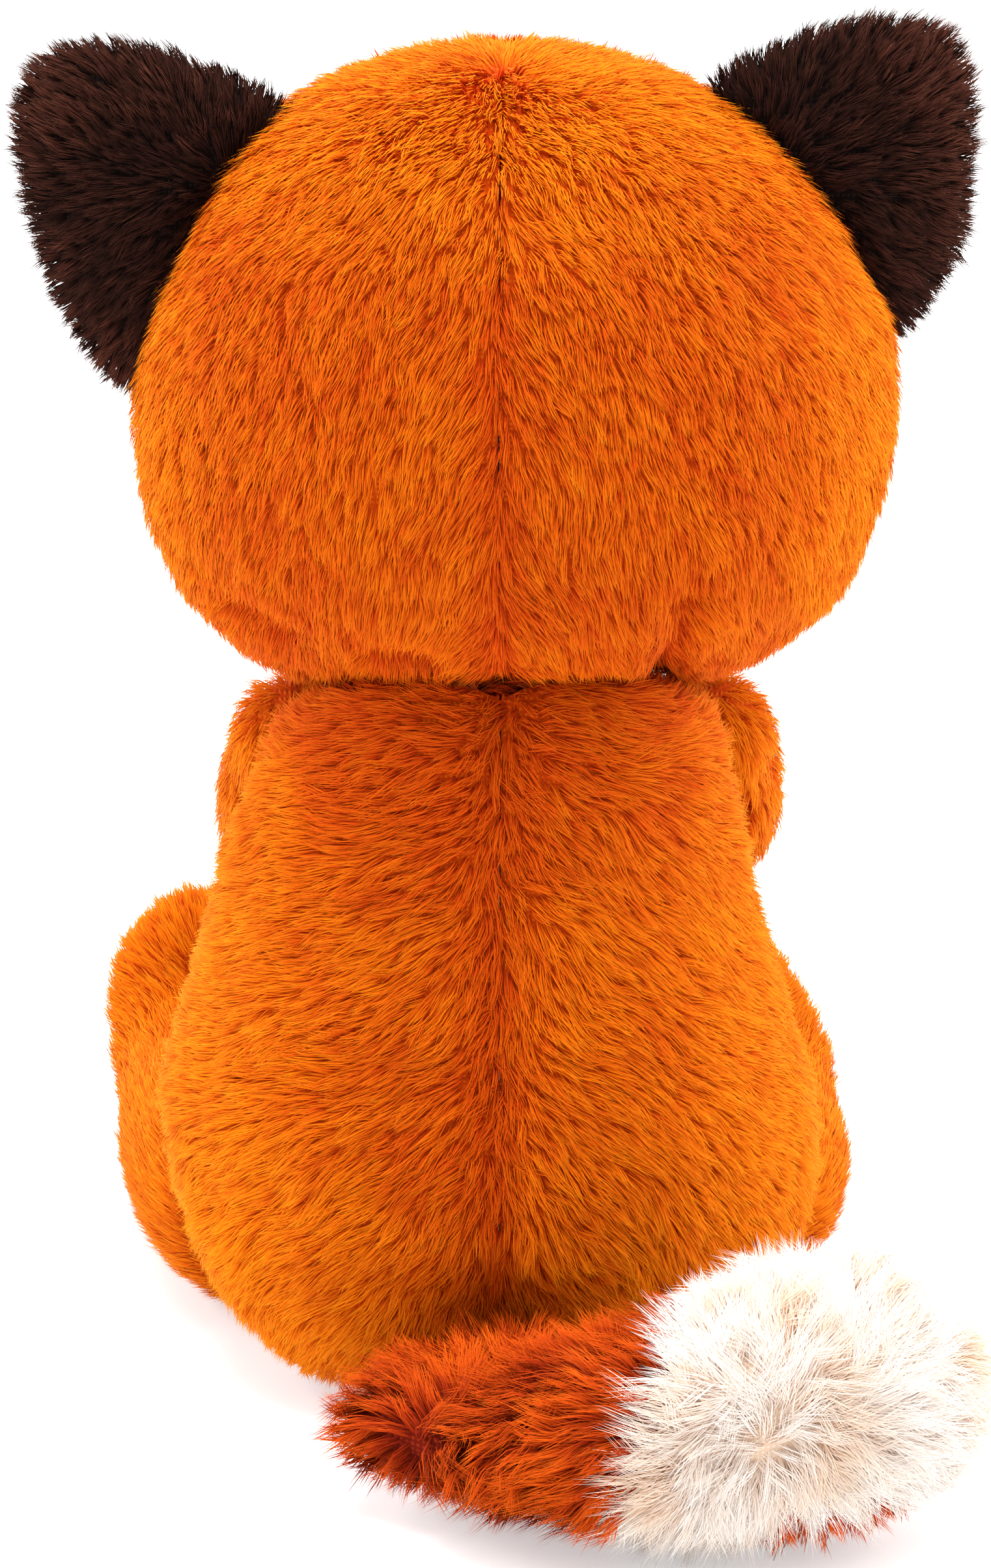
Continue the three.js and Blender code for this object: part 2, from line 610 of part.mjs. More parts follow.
buildTorso();
buildHead();
for (const [name, side] of sides) {
  buildEar(name, side);
  buildArm(name, side);
  buildLeg(name, side);
}
buildTail();

export default fox;
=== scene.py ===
import bmesh
import bpy
import json
import math
import random
import numpy as np
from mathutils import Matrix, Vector, noise
from mathutils.bvhtree import BVHTree


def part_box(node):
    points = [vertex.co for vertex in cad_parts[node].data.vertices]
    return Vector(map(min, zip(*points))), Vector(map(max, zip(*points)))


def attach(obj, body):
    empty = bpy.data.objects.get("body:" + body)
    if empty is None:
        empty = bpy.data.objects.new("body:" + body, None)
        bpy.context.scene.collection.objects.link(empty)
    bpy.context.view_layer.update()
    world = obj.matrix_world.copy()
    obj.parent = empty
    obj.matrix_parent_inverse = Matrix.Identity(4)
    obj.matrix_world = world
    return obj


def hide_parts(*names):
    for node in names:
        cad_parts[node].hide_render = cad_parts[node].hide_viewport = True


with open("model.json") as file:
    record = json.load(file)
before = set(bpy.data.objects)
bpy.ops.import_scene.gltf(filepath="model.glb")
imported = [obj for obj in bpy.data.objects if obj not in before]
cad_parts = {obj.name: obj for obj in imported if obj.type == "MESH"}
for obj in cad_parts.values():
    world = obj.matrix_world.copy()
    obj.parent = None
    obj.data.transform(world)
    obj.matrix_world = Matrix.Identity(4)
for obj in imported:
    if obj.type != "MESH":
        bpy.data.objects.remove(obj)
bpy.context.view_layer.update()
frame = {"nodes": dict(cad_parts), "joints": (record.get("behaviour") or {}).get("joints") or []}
scene = bpy.context.scene
mm = 0.001
print("frame loaded")

# camera, light and floor
studio = {
    "cameraAt": (0.056, 1.061, 0.400), "lookAt": (0.0015, 0.0026, 0.1053), "lens": 146.4, "sensor": 36,
    "skyStrength": 0.7, "floorSize": 8.0, "floorColour": (0.86, 0.86, 0.86, 1), "floorRoughness": 0.9,
    "floorLift": 0.42, "toyMiddle": (0, 0, 0.12),
    # place, size across, power, each aimed at the middle of the toy
    "lamps": {"topLamp": ((0.05, 0.28, 1.5), 0.9, 20.0), "leftLamp": ((1.2, -0.1, 0.7), 0.8, 11.0),
              "rightLamp": ((-1.2, -0.05, 0.6), 0.8, 12.0), "frontLamp": ((0.2, -1.2, 0.9), 1.0, 7.0),
              "backLamp": ((0.1, 1.4, 0.08), 0.8, 5.0)},
}


def aimed(thing, target):
    thing.rotation_euler = (Vector(target) - thing.location).to_track_quat("-Z", "Y").to_euler()


def buildStudio():
    scene.view_settings.view_transform = "Standard"
    camera = bpy.data.objects.new("camera", bpy.data.cameras.new("camera"))
    camera.location = studio["cameraAt"]
    camera.data.lens = studio["lens"]
    camera.data.sensor_width = studio["sensor"]
    aimed(camera, studio["lookAt"])
    scene.collection.objects.link(camera)
    scene.camera = camera
    for name, (place, size, power) in studio["lamps"].items():
        lamp = bpy.data.objects.new(name, bpy.data.lights.new(name, "AREA"))
        lamp.location = place
        lamp.data.size = size
        lamp.data.energy = power
        aimed(lamp, studio["toyMiddle"])
        scene.collection.objects.link(lamp)

    world = bpy.data.worlds.new("paperSky")
    world.use_nodes = True
    scene.world = world
    tree = world.node_tree
    sky = fed(tree, tree.nodes["Background"], {"Color": (1, 1, 1, 1), "Strength": studio["skyStrength"]})
    paper = added(tree, "ShaderNodeBackground", {"Color": (1, 1, 1, 1)})
    path = added(tree, "ShaderNodeLightPath", {}).outputs
    seen = computed(tree, "MAXIMUM", path["Is Camera Ray"], path["Is Glossy Ray"])
    seen = computed(tree, "MAXIMUM", seen, path["Is Transmission Ray"])
    mix = added(tree, "ShaderNodeMixShader", {0: seen, 1: sky.outputs[0], 2: paper.outputs[0]})
    fed(tree, tree.nodes["World Output"], {"Surface": mix.outputs[0]})

    form = bmesh.new()
    bmesh.ops.create_grid(form, x_segments=1, y_segments=1, size=studio["floorSize"] / 2)
    floor = linked("floor", form)
    material, tree, shader = newMaterial("floorPaper")
    fed(tree, shader, {"Base Color": studio["floorColour"], "Roughness": studio["floorRoughness"]})
    path = added(tree, "ShaderNodeLightPath", {}).outputs
    lift = computed(tree, "MULTIPLY", path["Is Camera Ray"], studio["floorLift"])
    glow = added(tree, "ShaderNodeEmission", {"Strength": lift})
    both = added(tree, "ShaderNodeAddShader", {0: shader.outputs[0], 1: glow.outputs[0]})
    fed(tree, tree.nodes["Material Output"], {"Surface": both.outputs[0]})
    floor.data.materials.append(material)


def linked(name, form):
    mesh = bpy.data.meshes.new(name)
    form.to_mesh(mesh)
    form.free()
    piece = bpy.data.objects.new(name, mesh)
    scene.collection.objects.link(piece)
    return piece


def settled(piece):  # applies a piece's modifiers
    found = piece.evaluated_get(bpy.context.evaluated_depsgraph_get())
    mesh = bpy.data.meshes.new_from_object(found)
    piece.modifiers.clear()
    old, piece.data = piece.data, mesh
    bpy.data.meshes.remove(old)
    return piece


def removed(piece):
    mesh = piece.data
    bpy.data.objects.remove(piece)
    bpy.data.meshes.remove(mesh)


def values(owner, field, width):
    found = np.zeros(len(owner) * width, np.float32)
    owner.foreach_get(field, found)
    return found.reshape(-1, width).astype(float)


def smoothShaded(piece):
    piece.data.polygons.foreach_set("use_smooth", [True] * len(piece.data.polygons))


# materials
def tint(red, green, blue):
    linear = [c / 255 / 12.92 if c < 11 else ((c / 255 + 0.055) / 1.055) ** 2.4 for c in (red, green, blue)]
    return (*linear, 1)


def fed(tree, node, inputs):  # each input takes a value, or what another node gives
    for socket, value in inputs.items():
        if isinstance(value, bpy.types.NodeSocket):
            tree.links.new(value, node.inputs[socket])
        else:
            node.inputs[socket].default_value = value
    return node


def added(tree, kind, inputs, **settings):
    node = tree.nodes.new(kind)
    for name, value in settings.items():
        setattr(node, name, value)
    return fed(tree, node, inputs)


def newMaterial(name):
    material = bpy.data.materials.new(name)
    material.use_nodes = True
    return material, material.node_tree, material.node_tree.nodes["Principled BSDF"]


def ranged(tree, source, low, high):
    inputs = {"Value": source, "To Min": low, "To Max": high}
    return added(tree, "ShaderNodeMapRange", inputs).outputs["Result"]


def computed(tree, operation, first, second, clamped=False):
    inputs = {0: first, 1: second}
    return added(tree, "ShaderNodeMath", inputs, operation=operation, use_clamp=clamped).outputs[0]


def mixedColour(tree, factor, first, second):
    return added(tree, "ShaderNodeMix", {0: factor, 6: first, 7: second}, data_type="RGBA").outputs[2]


# each plush runs from the root of a fibre to its tip, for the dullest and the brightest locks; where a tone
# paints light, the dull end serves as painted shade and the yellower bright end as painted light, and the
# darker roots partly paint the shade between the locks
plushLooks = {
    "orangePile": {
        "dull": ((0, (160, 34, 0)), (0.35, (194, 54, 0)), (0.75, (220, 82, 0)), (1, (234, 104, 2))),
        "bright": ((0, (200, 58, 0)), (0.3, (232, 100, 0)), (0.75, (250, 136, 0)), (1, (255, 170, 28))),
        "sheen": 0.08, "sheenTint": (1, 0.45, 0.1, 1)},
    "rustPile": {
        "dull": ((0, (84, 8, 0)), (0.4, (142, 30, 0)), (0.8, (186, 56, 0)), (1, (208, 76, 2))),
        "bright": ((0, (140, 30, 0)), (0.35, (206, 68, 0)), (0.75, (240, 100, 2)), (1, (252, 126, 22))),
        "sheen": 0.08, "sheenTint": (1, 0.4, 0.1, 1)},
    "brownPile": {
        "dull": ((0, (8, 2, 1)), (0.4, (22, 8, 4)), (0.8, (42, 17, 9)), (1, (58, 27, 17))),
        "bright": ((0, (22, 8, 4)), (0.35, (58, 25, 15)), (0.75, (108, 57, 41)), (1, (152, 98, 80))),
        "sheen": 0.06, "sheenTint": (0.8, 0.4, 0.3, 1)},
    "creamPile": {
        "dull": ((0, (226, 166, 118)), (0.4, (240, 200, 164)), (0.8, (248, 222, 198)), (1, (252, 236, 220))),
        "bright": ((0, (246, 226, 210)), (0.35, (251, 240, 231)), (0.75, (253, 247, 242)),
                   (1, (255, 252, 249))),
        "sheen": 0.15, "sheenTint": (1, 0.97, 0.94, 1)},
}
# shared by all plush: streaks across and along a blade, how much they vary, roughness from root to tip
pileFinish = {"streaks": (140, 5, 1), "streakShade": (0.78, 1.22), "roughness": (0.95, 0.72), "specular": 0.1,
              "sheenRoughness": 0.35}
clothFinish = {"waves": 0.314, "distortion": 1.5, "roughness": (0.95, 0.7), "specular": 0.1,
               "depth": 0.3 * mm}
bumpStrength = 0.6


def pileMaterial(name, look):
    material, tree, shader = newMaterial(name)
    place = added(tree, "ShaderNodeUVMap", {}, uv_map="OFBake").outputs["UV"]
    split = added(tree, "ShaderNodeSeparateXYZ", {"Vector": place}).outputs
    ramps = []
    for end in ("dull", "bright"):
        ramp = added(tree, "ShaderNodeValToRGB", {"Fac": split["Y"]})
        while len(ramp.color_ramp.elements) < len(look[end]):
            ramp.color_ramp.elements.new(0.5)
        for element, (share, colour) in zip(ramp.color_ramp.elements, look[end]):
            element.position = share
            element.color = tint(*colour)
        ramps.append(ramp.outputs["Color"])
    plain = mixedColour(tree, split["X"], *ramps)
    stretched = added(tree, "ShaderNodeMapping", {"Vector": place, "Scale": pileFinish["streaks"]})
    streak = added(tree, "ShaderNodeTexNoise", {"Vector": stretched.outputs["Vector"]}).outputs["Fac"]
    streak = ranged(tree, streak, *pileFinish["streakShade"])
    shade = added(tree, "ShaderNodeVectorMath", {0: plain, "Scale": streak}, operation="SCALE")
    fed(tree, shader, {"Base Color": shade.outputs["Vector"],
                       "Roughness": ranged(tree, split["Y"], *pileFinish["roughness"]),
                       "Specular IOR Level": pileFinish["specular"], "Sheen Weight": look["sheen"],
                       "Sheen Roughness": pileFinish["sheenRoughness"], "Sheen Tint": look["sheenTint"]})
    return material


def bumped(tree, height, depth):
    inputs = {"Strength": bumpStrength, "Distance": depth, "Height": height}
    return added(tree, "ShaderNodeBump", inputs).outputs["Normal"]


def clothMaterial(name, dark, light, pitch):  # a knitted or woven backing, its threads a pitch apart
    material, tree, shader = newMaterial(name)
    place = added(tree, "ShaderNodeTexCoord", {}).outputs["Object"]
    waves = {"Vector": place, "Scale": clothFinish["waves"] / pitch, "Distortion": clothFinish["distortion"]}
    threads = [added(tree, "ShaderNodeTexWave", waves, bands_direction=way).outputs["Fac"] for way in "XZ"]
    weave = computed(tree, "MULTIPLY", *threads)
    fed(tree, shader, {"Base Color": mixedColour(tree, weave, tint(*dark), tint(*light)),
                       "Roughness": ranged(tree, weave, *clothFinish["roughness"]),
                       "Specular IOR Level": clothFinish["specular"],
                       "Normal": bumped(tree, weave, clothFinish["depth"])})
    return material


def speckledMaterial(name, dark, light, size, rough, depth, detail=6):  # fibre or plastic: a fine grain
    material, tree, shader = newMaterial(name)
    place = added(tree, "ShaderNodeTexCoord", {}).outputs["Object"]
    grain = {"Vector": place, "Scale": 1 / size, "Detail": detail}
    grain = added(tree, "ShaderNodeTexNoise", grain).outputs["Fac"]
    fed(tree, shader, {"Base Color": mixedColour(tree, grain, tint(*dark), tint(*light)),
                       "Roughness": ranged(tree, grain, *rough), "Normal": bumped(tree, grain, depth)})
    return material


buildStudio()
pileMaterials = {name: pileMaterial(name, look) for name, look in plushLooks.items()}
backingPitch = 0.9 * mm
backings = {
    "orangePile": clothMaterial("orangeBacking", (190, 60, 0), (222, 92, 2), backingPitch),
    "rustPile": clothMaterial("rustBacking", (96, 14, 0), (140, 34, 0), backingPitch),
    "brownPile": clothMaterial("brownBacking", (12, 7, 5), (30, 18, 14), backingPitch),
    "creamPile": clothMaterial("creamBacking", (226, 196, 170), (244, 228, 212), backingPitch),
}
fibreWadding = speckledMaterial("fibreWadding", (214, 214, 210), (250, 250, 248), 2 * mm, (0.95, 0.8),
                                1.2 * mm)
pelletCloth = clothMaterial("pelletCloth", (190, 186, 172), (232, 230, 220), 0.7 * mm)
buttonBlack = speckledMaterial("buttonBlack", (5, 4, 4), (16, 12, 11), 9 * mm, (0.06, 0.16), 0.02 * mm)
buttonSpecular = 0.2
buttonBlack.node_tree.nodes["Principled BSDF"].inputs["Specular IOR Level"].default_value = buttonSpecular
washerPlastic = speckledMaterial("washerPlastic", (206, 208, 204), (232, 234, 230), 4 * mm, (0.35, 0.55),
                                 0.05 * mm)
print("studio and materials made")


# the middle lines of the arms and the tail, as in the solids
def routeOf(corners, steps=40):
    ends = [np.array(corner, float) for corner in corners]
    ends = [2 * ends[0] - ends[1], *ends, 2 * ends[-1] - ends[-2]]
    spans = (((0, 1), (1, 2), (2, 3)), ((0, 2), (1, 3)), ((1, 2),))
    route = []
    for group in zip(ends, ends[1:], ends[2:], ends[3:]):
        times = np.cumsum([0] + [math.sqrt(np.linalg.norm(b - a)) for a, b in zip(group, group[1:])])
        for time in np.linspace(times[1], times[2], steps):
            stage = group
            for row in spans:
                stage = [a + (b - a) * (time - times[lo]) / (times[hi] - times[lo])
                         for (lo, hi), a, b in zip(row, stage, stage[1:])]
            route.append(stage[0])
    route = np.array(route)
    lengths = np.concatenate([[0], np.cumsum(np.linalg.norm(np.diff(route, axis=0), axis=1))])
    even = np.linspace(0, lengths[-1], steps)
    return np.stack([np.interp(even, lengths, route[:, axis]) for axis in range(3)], axis=1)


def acrossRoute(route, share):
    first = int(share * (len(route) - 1))
    step = Vector(route[first + 1] - route[first])
    return Vector(route[first]) + step * (share * (len(route) - 1) - first), step.normalized()


jointAt = {joint["name"]: Vector(joint["pos_m"]) for joint in frame["joints"]}
routes = {"tail": ((17, 69, 23.75), (-25, 98, 27.5), (-67, 72, 27.5)), "arm": ((38, -32, 89), (24, -59, 73)),
          "whiteShare": 0.6, "whiteTilt": -0.35, "pawShare": 0.68}
tailRoute = routeOf((jointAt["tail_swing"], *[Vector(corner) * mm for corner in routes["tail"]]))

# seams, as in the solids: a place on each and the way across it
up, down, ahead = Vector((0, 0, 1)), Vector((0, 0, -1)), Vector((0, -1, 0))
seamTurn, cheekTurn = math.radians(4), math.radians(24)
seamAt = {"side": -14, "seat": 7, "cheek": 159}  # mm
seamAcross = Vector((math.cos(seamTurn), -math.sin(seamTurn), 0))
neck = 0.123
middle = Vector((0, 0, 0))
seams = {
    "back": (middle, seamAcross),
    "side": (Vector((0, seamAt["side"], 0)) * mm, -ahead),
    "seat": (Vector((0, 0, seamAt["seat"])) * mm, up),
    "front": (middle, Vector((1, 0, 0))),
}
whiteAt, whiteAcross = acrossRoute(tailRoute, routes["whiteShare"])
seams["white"] = (whiteAt, (whiteAcross + Vector((0, 0, routes["whiteTilt"]))).normalized())
sides = (("Left", 1), ("Right", -1))
for side, sign in sides:
    low = side.lower()
    corners = [Vector((x * sign, y, z)) * mm for x, y, z in routes["arm"]]
    armRoute = routeOf((jointAt[f"arm_{low}_swing"], *corners))
    cheekAcross = Vector((-sign * math.sin(cheekTurn), 0, math.cos(cheekTurn)))
    seams["cheek" + side] = (Vector((0, 0, seamAt["cheek"])) * mm, cheekAcross)
    seams["paw" + side] = acrossRoute(armRoute, routes["pawShare"])
    seams["ear" + side] = (jointAt[f"ear_{low}_flex"], -ahead)


# how the forms are shaped: bands, each with its axis, start, end and fade in mm, and the moves within them
bands = {
    "flank": ((0, 36, 1000, 36), (1, -8, 60, 24), (2, 54, 98, 34)),
    "seat": ((0, 30, 1000, 30), (1, 24, 90, 24), (2, 0, 34, 24)),
    "nape": ((1, 26, 60, 24), (2, 123, 140, 40)),
    "underHead": ((1, 26, 60, 24), (2, 120, 123, 44)),
    "jowl": ((0, -1000, -34, 34), (2, 112, 136, 16)),
    "rightThigh": ((1, -200, 20, 26),), "leftThigh": ((2, 50, 120, 20),),
    "earTip": ((2, 232, 260, 34),), "earFoot": ((2, 140, 186, 18),),
    "outerArm": ((0, -90, -52, 12),), "shoulder": ((2, 104, 140, 24),),
    "brush": ((0, -90, -40, 40),), "tailRoot": ((0, 0, 60, 34),), "tailFold": ((0, 14, 60, 20),),
}
shaping = {
    "flankOut": 6.5 * mm, "seatOut": 5 * mm, "seatBack": 1.5 * mm, "napeUp": 10 * mm, "jowlOut": 2.6 * mm,
    "headUp": 6 * mm, "thighIn": 1.6 * mm, "thighMost": 11 * mm, "thighSlope": 0.26, "thighFrom": 26 * mm,
    "thighLower": 0.08, "thighOut": 2.4 * mm, "earTipAside": 2.4 * mm, "earTipUp": 3 * mm,
    "earFootDown": 3.5 * mm, "armOut": 2 * mm, "shoulderUp": 3 * mm, "brushLonger": 0.09, "brushLower": 0.06,
    "rootLower": 0.25, "foldLower": 0.1, "foldAside": 3 * mm, "foldNearer": 4 * mm,
}


def within(co, name):  # 1 inside a band, 0 well outside it
    share = 1
    for axis, start, end, fade in bands[name]:
        rise, fall = (co[axis] - start * mm) / (fade * mm), (end * mm - co[axis]) / (fade * mm)
        share *= max(0, min(1, rise + 1, fall + 1))
    return share


def shapedBody(co):  # one flank is stuffed fuller, the seat is wider under it, and the nape climbs
    seat = within(co, "seat")
    out = max(shaping["flankOut"] * within(co, "flank"), shaping["seatOut"] * seat)
    climb = shaping["napeUp"] * within(co, "nape")
    return Vector((co.x + out, co.y + shaping["seatBack"] * seat, co.z + climb))


def shapedHead(co):  # the head's underside climbs towards the back, and one jowl is fuller
    out = shaping["jowlOut"] * within(co, "jowl")
    return Vector((co.x - out, co.y, co.z + shaping["headUp"] * within(co, "underHead")))


def shapedRightLeg(co):  # this thigh lies lower, against the body
    share = within(co, "rightThigh")
    inward = shaping["thighIn"] + min(shaping["thighMost"],
                                      shaping["thighSlope"] * max(0, co.z - shaping["thighFrom"]))
    return Vector((co.x + inward * share, co.y, co.z * (1 - shaping["thighLower"] * share)))


def shapedLeftLeg(co):
    return Vector((co.x + shaping["thighOut"] * within(co, "leftThigh"), co.y, co.z))


def shapedRightEar(co):
    top = within(co, "earTip")
    return Vector((co.x + shaping["earTipAside"] * min(1, 2 * top), co.y, co.z + shaping["earTipUp"] * top))


def shapedLeftEar(co):
    return Vector((co.x, co.y, co.z - shaping["earFootDown"] * within(co, "earFoot")))


def shapedArm(co):
    out = shaping["armOut"] * within(co, "outerArm")
    return Vector((co.x - out, co.y, co.z + shaping["shoulderUp"] * within(co, "shoulder")))


def shapedTail(co):  # the brush lies lower and reaches further, and the root is flatter
    brush, root, fold = (within(co, name) for name in ("brush", "tailRoot", "tailFold"))
    lower = 1 - shaping["brushLower"] * brush - shaping["rootLower"] * root - shaping["foldLower"] * fold
    return Vector((co.x * (1 + shaping["brushLonger"] * brush) + shaping["foldAside"] * fold,
                   co.y - shaping["foldNearer"] * fold, co.z * lower))


# the stuffed forms, from the solids: closed, smooth, and lower than the solid by the height of the pile
forms = {
    "body": {"nodes": ("back_panel_left", "back_panel_right", "belly_panel", "seat_panel", "body_filling"),
             "voxel": 2.4 * mm, "pileDepth": 2.6 * mm, "smoothing": 6, "shaped": shapedBody,
             "drawnIn": ("back", "side"),
             "roots": {"arm_left_swing": 17 * mm, "arm_right_swing": 17 * mm, "leg_left_lift": 19 * mm,
                       "leg_right_lift": 19 * mm, "tail_swing": 15 * mm}},
    "head": {"nodes": ("head_back_left", "head_back_right", "forehead", "cheek_left", "cheek_right",
                       "head_filling"),
             "voxel": 2.4 * mm, "pileDepth": 1.4 * mm, "smoothing": 6, "shaped": shapedHead,
             "drawnIn": ("back", "side"), "roots": {"ear_left_flex": 21 * mm, "ear_right_flex": 21 * mm}},
    "tail": {"nodes": ("tail_base", "tail_brush", "tail_filling"),
             "voxel": 2.4 * mm, "pileDepth": 6 * mm, "smoothing": 8, "shaped": shapedTail},
}
for low, shapedLeg, shapedEar in (("left", shapedLeftLeg, shapedLeftEar),
                                  ("right", shapedRightLeg, shapedRightEar)):
    forms["arm_" + low] = {"nodes": (f"arm_{low}", f"paw_{low}", f"arm_filling_{low}"),
                           "voxel": 1.8 * mm, "pileDepth": 2.2 * mm, "smoothing": 5, "shaped": shapedArm}
    forms["leg_" + low] = {"nodes": (f"leg_{low}", f"leg_filling_{low}"),
                           "voxel": 2 * mm, "pileDepth": 2.4 * mm, "smoothing": 6, "shaped": shapedLeg}
    forms["sole_" + low] = {"nodes": (f"sole_{low}",),
                            "voxel": 1 * mm, "pileDepth": 0.6 * mm, "smoothing": 2, "shaped": shapedLeg}
    forms["ear_" + low] = {"nodes": (f"ear_back_{low}", f"ear_lining_{low}"), "heldBy": "head",
                           "voxel": 1.6 * mm, "pileDepth": 1.7 * mm, "smoothing": 4, "shaped": shapedEar}
gapClose = 0.4 * mm
weldGap = 0.001 * mm
hair = 0.01  # a step off a surface, in mm
# a place is sunk by at most a share of its thickness, and the hem of an ear is held by the head
sinking = {"thinShare": 0.3, "heldWithin": 7 * mm, "heldPull": 1.6, "heldMost": 1.3, "smoothing": 3,
           "rootSmoothing": 60}
# seams and darts, drawn in by their depth in mm; the back's own seam is deeper and wider
drawing = {"wide": 2.2 * mm, "deep": 0.8 * mm, "backDeep": 2.8 * mm, "backFlare": 0.3, "dartDeep": 3,
           "dartWide": 2.6 * mm}
darts = ((Vector((45, 0, 143)) * mm, Vector((37, 0, 139)) * mm),
         (Vector((22, 0, 137)) * mm, Vector((15, 0, 136)) * mm),
         (Vector((-28, 0, 148)) * mm, Vector((-25, 0, 126)) * mm))
puffing = {"pressure": 4.0, "frames": 20, "cap": 2.2 * mm, "pinnedWide": 5 * mm, "pinned": 1.6,
           "seat": (12, 6), "neckPinned": 1.5, "neckWide": 8 * mm}


def ramp(value, start, end):  # 0 before the start and 1 beyond the end, both in mm
    return np.clip((value - start * mm) / ((end - start) * mm), 0, 1)


def fading(off, amount, reach):  # an amount that fades with the distance, over a reach in mm
    return amount * np.exp(-off / (reach * mm))


def dartGap(at):  # how far each place on the back of the head is from the nearest dart
    gaps = []
    for start, end in darts:
        first, way = np.array(start), np.array(end - start)
        flat = at * np.array((1, 0, 1))
        share = np.clip(((flat - first) @ way) / (way @ way), 0, 1)[:, None]
        gaps.append(np.linalg.norm(flat - first - share * way, axis=1))
    return np.minimum.reduce(gaps) + np.where(at[:, 1] < 0, 1.0, 0.0)


def largestIsland(form):
    left, best = set(form.faces), []
    while left:
        island = [left.pop()]
        for face in island:
            for edge in face.edges:
                for other in edge.link_faces:
                    if other in left:
                        left.remove(other)
                        island.append(other)
        if len(island) > len(best):
            best = island
    kept = set(best)
    bmesh.ops.delete(form, geom=[face for face in form.faces if face not in kept], context="FACES")


def mergedNode(node):
    form = bmesh.new()
    form.from_mesh(frame["nodes"][node].data)
    bmesh.ops.remove_doubles(form, verts=form.verts, dist=weldGap)
    form.normal_update()
    return form


def remeshed(piece, voxel):  # one closed, even skin round a piece
    remesh = piece.modifiers.new("remesh", "REMESH")
    remesh.mode = "VOXEL"
    remesh.voxel_size = voxel
    settled(piece)
    form = bmesh.new()
    form.from_mesh(piece.data)
    largestIsland(form)
    return form


def smoothed(form, verts, times):
    for _ in range(times):
        bmesh.ops.smooth_vert(form, verts=verts, factor=0.5, use_axis_x=True, use_axis_y=True,
                              use_axis_z=True)


def sunkIn(form, spec):
    form.normal_update()
    tree = BVHTree.FromBMesh(form)
    sunk = spec["pileDepth"] + gapClose
    moves = []
    for vert in form.verts:
        _, _, _, thick = tree.ray_cast(vert.co - vert.normal * hair * mm, -vert.normal)
        move = -vert.normal * min(sunk, sinking["thinShare"] * (thick or sunk))
        if "heldBy" in spec:
            place, _, _, far = trees[spec["heldBy"]].find_nearest(vert.co)
            held = max(0, 1 - far / sinking["heldWithin"])
            pull = min(sinking["heldPull"] * held, sinking["heldMost"])
            move = move * (1 - held) + (place - vert.co) * pull
        moves.append(move)
    for vert, move in zip(form.verts, moves):
        vert.co += move
    smoothed(form, form.verts, sinking["smoothing"])


def drawnDarts(form):
    form.normal_update()
    gaps = dartGap(np.array([tuple(vert.co) for vert in form.verts]))
    for vert, gap in zip(form.verts, gaps):
        vert.co -= vert.normal * drawing["dartDeep"] * mm * math.exp(-(gap / drawing["dartWide"]) ** 2)


def drawnSeams(form, name, seamNames):
    form.normal_update()
    for vert in form.verts:
        pull = 0
        for seam in seamNames:
            place, across = seams[seam]
            off = (vert.co - place).dot(across) / drawing["wide"]
            behind = vert.co.y > seamAt["side"] * mm
            if seam != "back" or behind:
                pull = max(pull, drawing["deep"] * math.exp(-off * off))
            if seam == "back" and name == "body" and behind:
                pull = max(pull, drawing["backDeep"] * math.exp(-drawing["backFlare"] * off * off))
        vert.co -= vert.normal * pull


def sewnShares(piece, seamNames):  # the cloth is held along its seams, at the neck and under the flat seat
    at = values(piece.data.vertices, "co", 3)
    pinned = np.zeros(len(at))
    for seam in seamNames:
        place, across = seams[seam]
        off = np.abs((at - np.array(place)) @ np.array(across)) / puffing["pinnedWide"]
        pinned = np.maximum(pinned, np.clip(puffing["pinned"] - off, 0, 1))
    atNeck = puffing["neckPinned"] - np.abs(at[:, 2] - neck) / puffing["neckWide"]
    return np.maximum.reduce((pinned, ramp(at[:, 2], *puffing["seat"]), np.clip(atNeck, 0, 1)))


def puffedOut(piece, pinned):  # the cloth between the seams swells as its filling presses it out
    before = values(piece.data.vertices, "co", 3)
    group = piece.vertex_groups.new(name="sewn")
    for index, share in enumerate(pinned):
        group.add([index], float(share), "REPLACE")
    cloth = piece.modifiers.new("cloth", "CLOTH")
    cloth.settings.use_pressure = True
    cloth.settings.uniform_pressure_force = puffing["pressure"]
    cloth.settings.effector_weights.gravity = 0
    cloth.settings.vertex_group_mass = "sewn"
    for number in range(1, puffing["frames"] + 1):
        scene.frame_set(number)
    settled(piece)
    scene.frame_set(1)
    moved = values(piece.data.vertices, "co", 3) - before
    far = np.linalg.norm(moved, axis=1, keepdims=True)
    moved *= np.minimum(1, puffing["cap"] / np.maximum(far, 1e-9))
    piece.data.vertices.foreach_set("co", (before + moved).astype(np.float32).ravel())
    piece.vertex_groups.clear()


